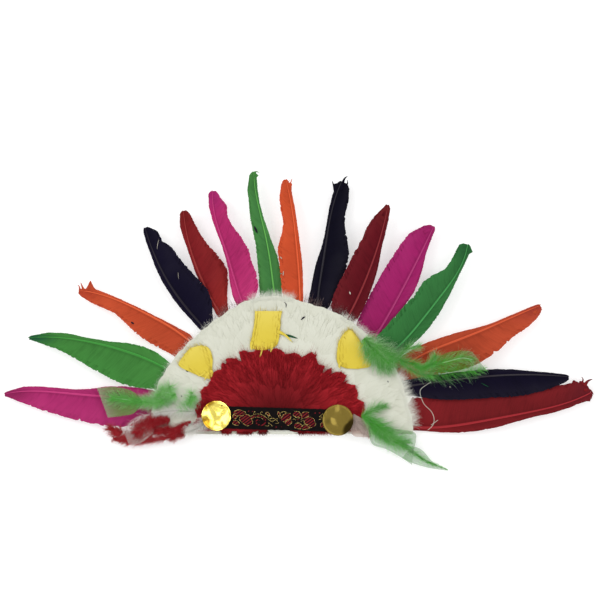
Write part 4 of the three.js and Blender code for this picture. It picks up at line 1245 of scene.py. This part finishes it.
def bandPatch(name, ring, level):
    # A flat raised patch on the ribbon: a fan of triangles over a closed ring, with its edge
    count = len(ring)
    middle = ring.mean(0)
    topPoints = onRibbon(np.vstack([ring, middle]), level)
    bottom = onRibbon(np.vstack([ring, middle]), level - 0.15)
    points = np.vstack([topPoints, bottom])
    faces = []
    for i in range(count):
        j = (i + 1) % count
        faces += [(count, i, j), (i, i + count + 1, j + count + 1), (i, j + count + 1, j)]
        faces.append((2 * count + 1, j + count + 1, i + count + 1))
    uv = np.vstack([np.vstack([ring, middle])] * 2) / 20
    return meshFromArrays(name, points, np.array(faces), uv, np.full(len(points), 0.5))


parts = [bandPatch("petal", ring, ribbonTop - 0.22) for ring in petalMeshes]
for dot in dots:
    ring = np.array(dot) + ribbonLook["dotRadius"] * towards(turns)
    parts.append(bandPatch("dot", ring, ribbonTop - 0.2))
path = onRibbon(alongPath(curl, np.linspace(0, 1, 26)), ribbonTop - 0.3)[None]
parts.append(strands("curl", path, np.full((1, 26), ribbonLook["curlRadius"]), np.array([0.5]), 6))
redPattern = joined("ribbon_red_pattern", parts)
made = Finish("ribbon_red_thread", roughness=0.8, Specular_IOR_Level=0.1)
placeX, placeY = made.split(made.place())
hatch = ((placeX * -0.75 + placeY) * 2050.0).sine()
made.give("Base Color", made.mix(hatch.step(-0.3, 0.4), *srgbs(ribbonLook["red"])))
made.bump(hatch, 0.7, 0.15)
dress(redPattern, made.material, "woven_ribbon")

goldParts = []
for line in goldLines:
    path = onRibbon(alongPath(line, np.linspace(0, 1, 12)), ribbonTop - 0.12)[None]
    goldParts.append(strands("gold", path, np.full((1, 12), ribbonLook["goldRadius"]), np.array([0.5]), 6))
goldPattern = joined("ribbon_gold_pattern", goldParts)
made = Finish("ribbon_gold_thread", roughness=0.42, metallic=0.35, Specular_IOR_Level=0.5)
broken = made.noise(made.place(), 900.0, 2.0, 0.6)
made.give("Base Color", made.mix(broken.step(0.42, 0.6), *srgbs(ribbonLook["gold"])))
made.bump(broken, 0.5, 0.1)
dress(goldPattern, made.material, "woven_ribbon")
print("ribbon done")


# Gold foil discs: the frame's own solids, with creased mirror foil whose base colour holds painted
# reflections in bright and dark patches

# Each foil: the bright and shade colours of its painted reflections, and the scales of its creases and
# patches
foils = {
    "gold_disc_left": {"name": "foil_left", "reflectedLight": (254, 232, 112), "shade": (178, 140, 38),
                       "creases": 60.0, "waves": 46.0},
    "gold_disc_right": {"name": "foil_right", "reflectedLight": (204, 178, 90), "shade": (84, 70, 32),
                        "creases": 66.0, "waves": 51.0},
}


def foil(name, reflectedLight, shade, creases, waves):
    made = Finish(name, roughness=0.12, metallic=1.0)
    place = made.place()
    wide = made.noise(place, waves, 0.6, 0.4)
    crease = made.node("ShaderNodeTexVoronoi", {"feature": "DISTANCE_TO_EDGE"},
                       {"Vector": place, "Scale": creases}, output="Distance")
    scuff = made.noise(place, 300.0, 4.0, 0.7)
    # The bright and shade patches of the base colour are painted reflections
    made.give("Base Color", made.mix(wide.step(0.4, 0.52), srgb(*shade), srgb(*reflectedLight)))
    made.give("Roughness", 0.08 + scuff.step(0.5, 0.8) * 0.18)
    made.bump(wide * 3.0 + crease.step(0.0, 0.3) * 0.2, 0.8, 0.9)
    return made.material


for node, look in foils.items():
    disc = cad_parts[node]
    paint(disc, foil(**look))

cardFinish = Finish("card_board", roughness=0.9)
grain = cardFinish.noise(cardFinish.place(), 400.0, 4.0, 0.7)
cardFinish.give("Base Color", cardFinish.mix(grain, srgb(206, 204, 190), srgb(222, 220, 208)))
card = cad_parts["backing_card"]
paint(card, cardFinish.material)
print("discs and card done")


# Floor, light and camera, in metres and watts

softboxes = {
    "softbox_left": {"place": (-1.3, 0.7, 1.5), "aim": (0, 0.1, 0), "size": (1.2, 1.2), "power": 16},
    "softbox_right": {"place": (1.4, 0.2, 1.4), "aim": (0, 0.1, 0), "size": (1.0, 1.0), "power": 7},
    "window": {"place": (0.86, 0.02, 2.1), "aim": (0, 0, 0), "size": (0.3, 0.36), "power": 0.9},
}

deselect()
bpy.ops.mesh.primitive_plane_add(size=6)
floor = bpy.context.object
floor.name = "floor"
floor.location.z = -0.0002
floorFinish = Finish("floor_white", roughness=0.9, Specular_IOR_Level=0.1)
floorFinish.shader.inputs["Base Color"].default_value = (0.62, 0.62, 0.62, 1)
floorFinish.shader.inputs["Emission Color"].default_value = (1, 1, 1, 1)
floorFinish.shader.inputs["Emission Strength"].default_value = 0.5
floor.data.materials.append(floorFinish.material)


def addSoftbox(name, place, aim, size, power):
    deselect()
    bpy.ops.object.light_add(type="AREA", location=place)
    lamp = bpy.context.object
    lamp.name = name
    lamp.data.shape = "RECTANGLE"
    lamp.data.size, lamp.data.size_y = size
    lamp.data.energy = power
    lamp.rotation_mode = "QUATERNION"
    lamp.rotation_quaternion = (Vector(aim) - Vector(place)).to_track_quat("-Z", "Y")


for name, look in softboxes.items():
    addSoftbox(name, **look)

world = bpy.context.scene.world or bpy.data.worlds.new("studio")
bpy.context.scene.world = world
world.use_nodes = True
background = world.node_tree.nodes["Background"]
background.inputs["Color"].default_value = (1, 1, 1, 1)
background.inputs["Strength"].default_value = 0.8

# A dark card hung high over the set, so that the foil has something dark to mirror
deselect()
bpy.ops.mesh.primitive_plane_add(size=0.9, location=(-0.05, 0.05, 2.2))
flag = bpy.context.object
flag.name = "dark_card"
flagFinish = Finish("dark_card_paper", roughness=1.0, Specular_IOR_Level=0.0)
flagFinish.shader.inputs["Base Color"].default_value = (0.3, 0.29, 0.26, 1)
flag.data.materials.append(flagFinish.material)

deselect()
bpy.ops.object.camera_add(location=(0.023, 0.118, 1.6), rotation=(0, 0, 0))
camera = bpy.context.object
camera.data.type = "ORTHO"
camera.data.ortho_scale = 0.6
camera.data.clip_end = 10
bpy.context.scene.camera = camera
bpy.context.scene.view_settings.view_transform = "Standard"
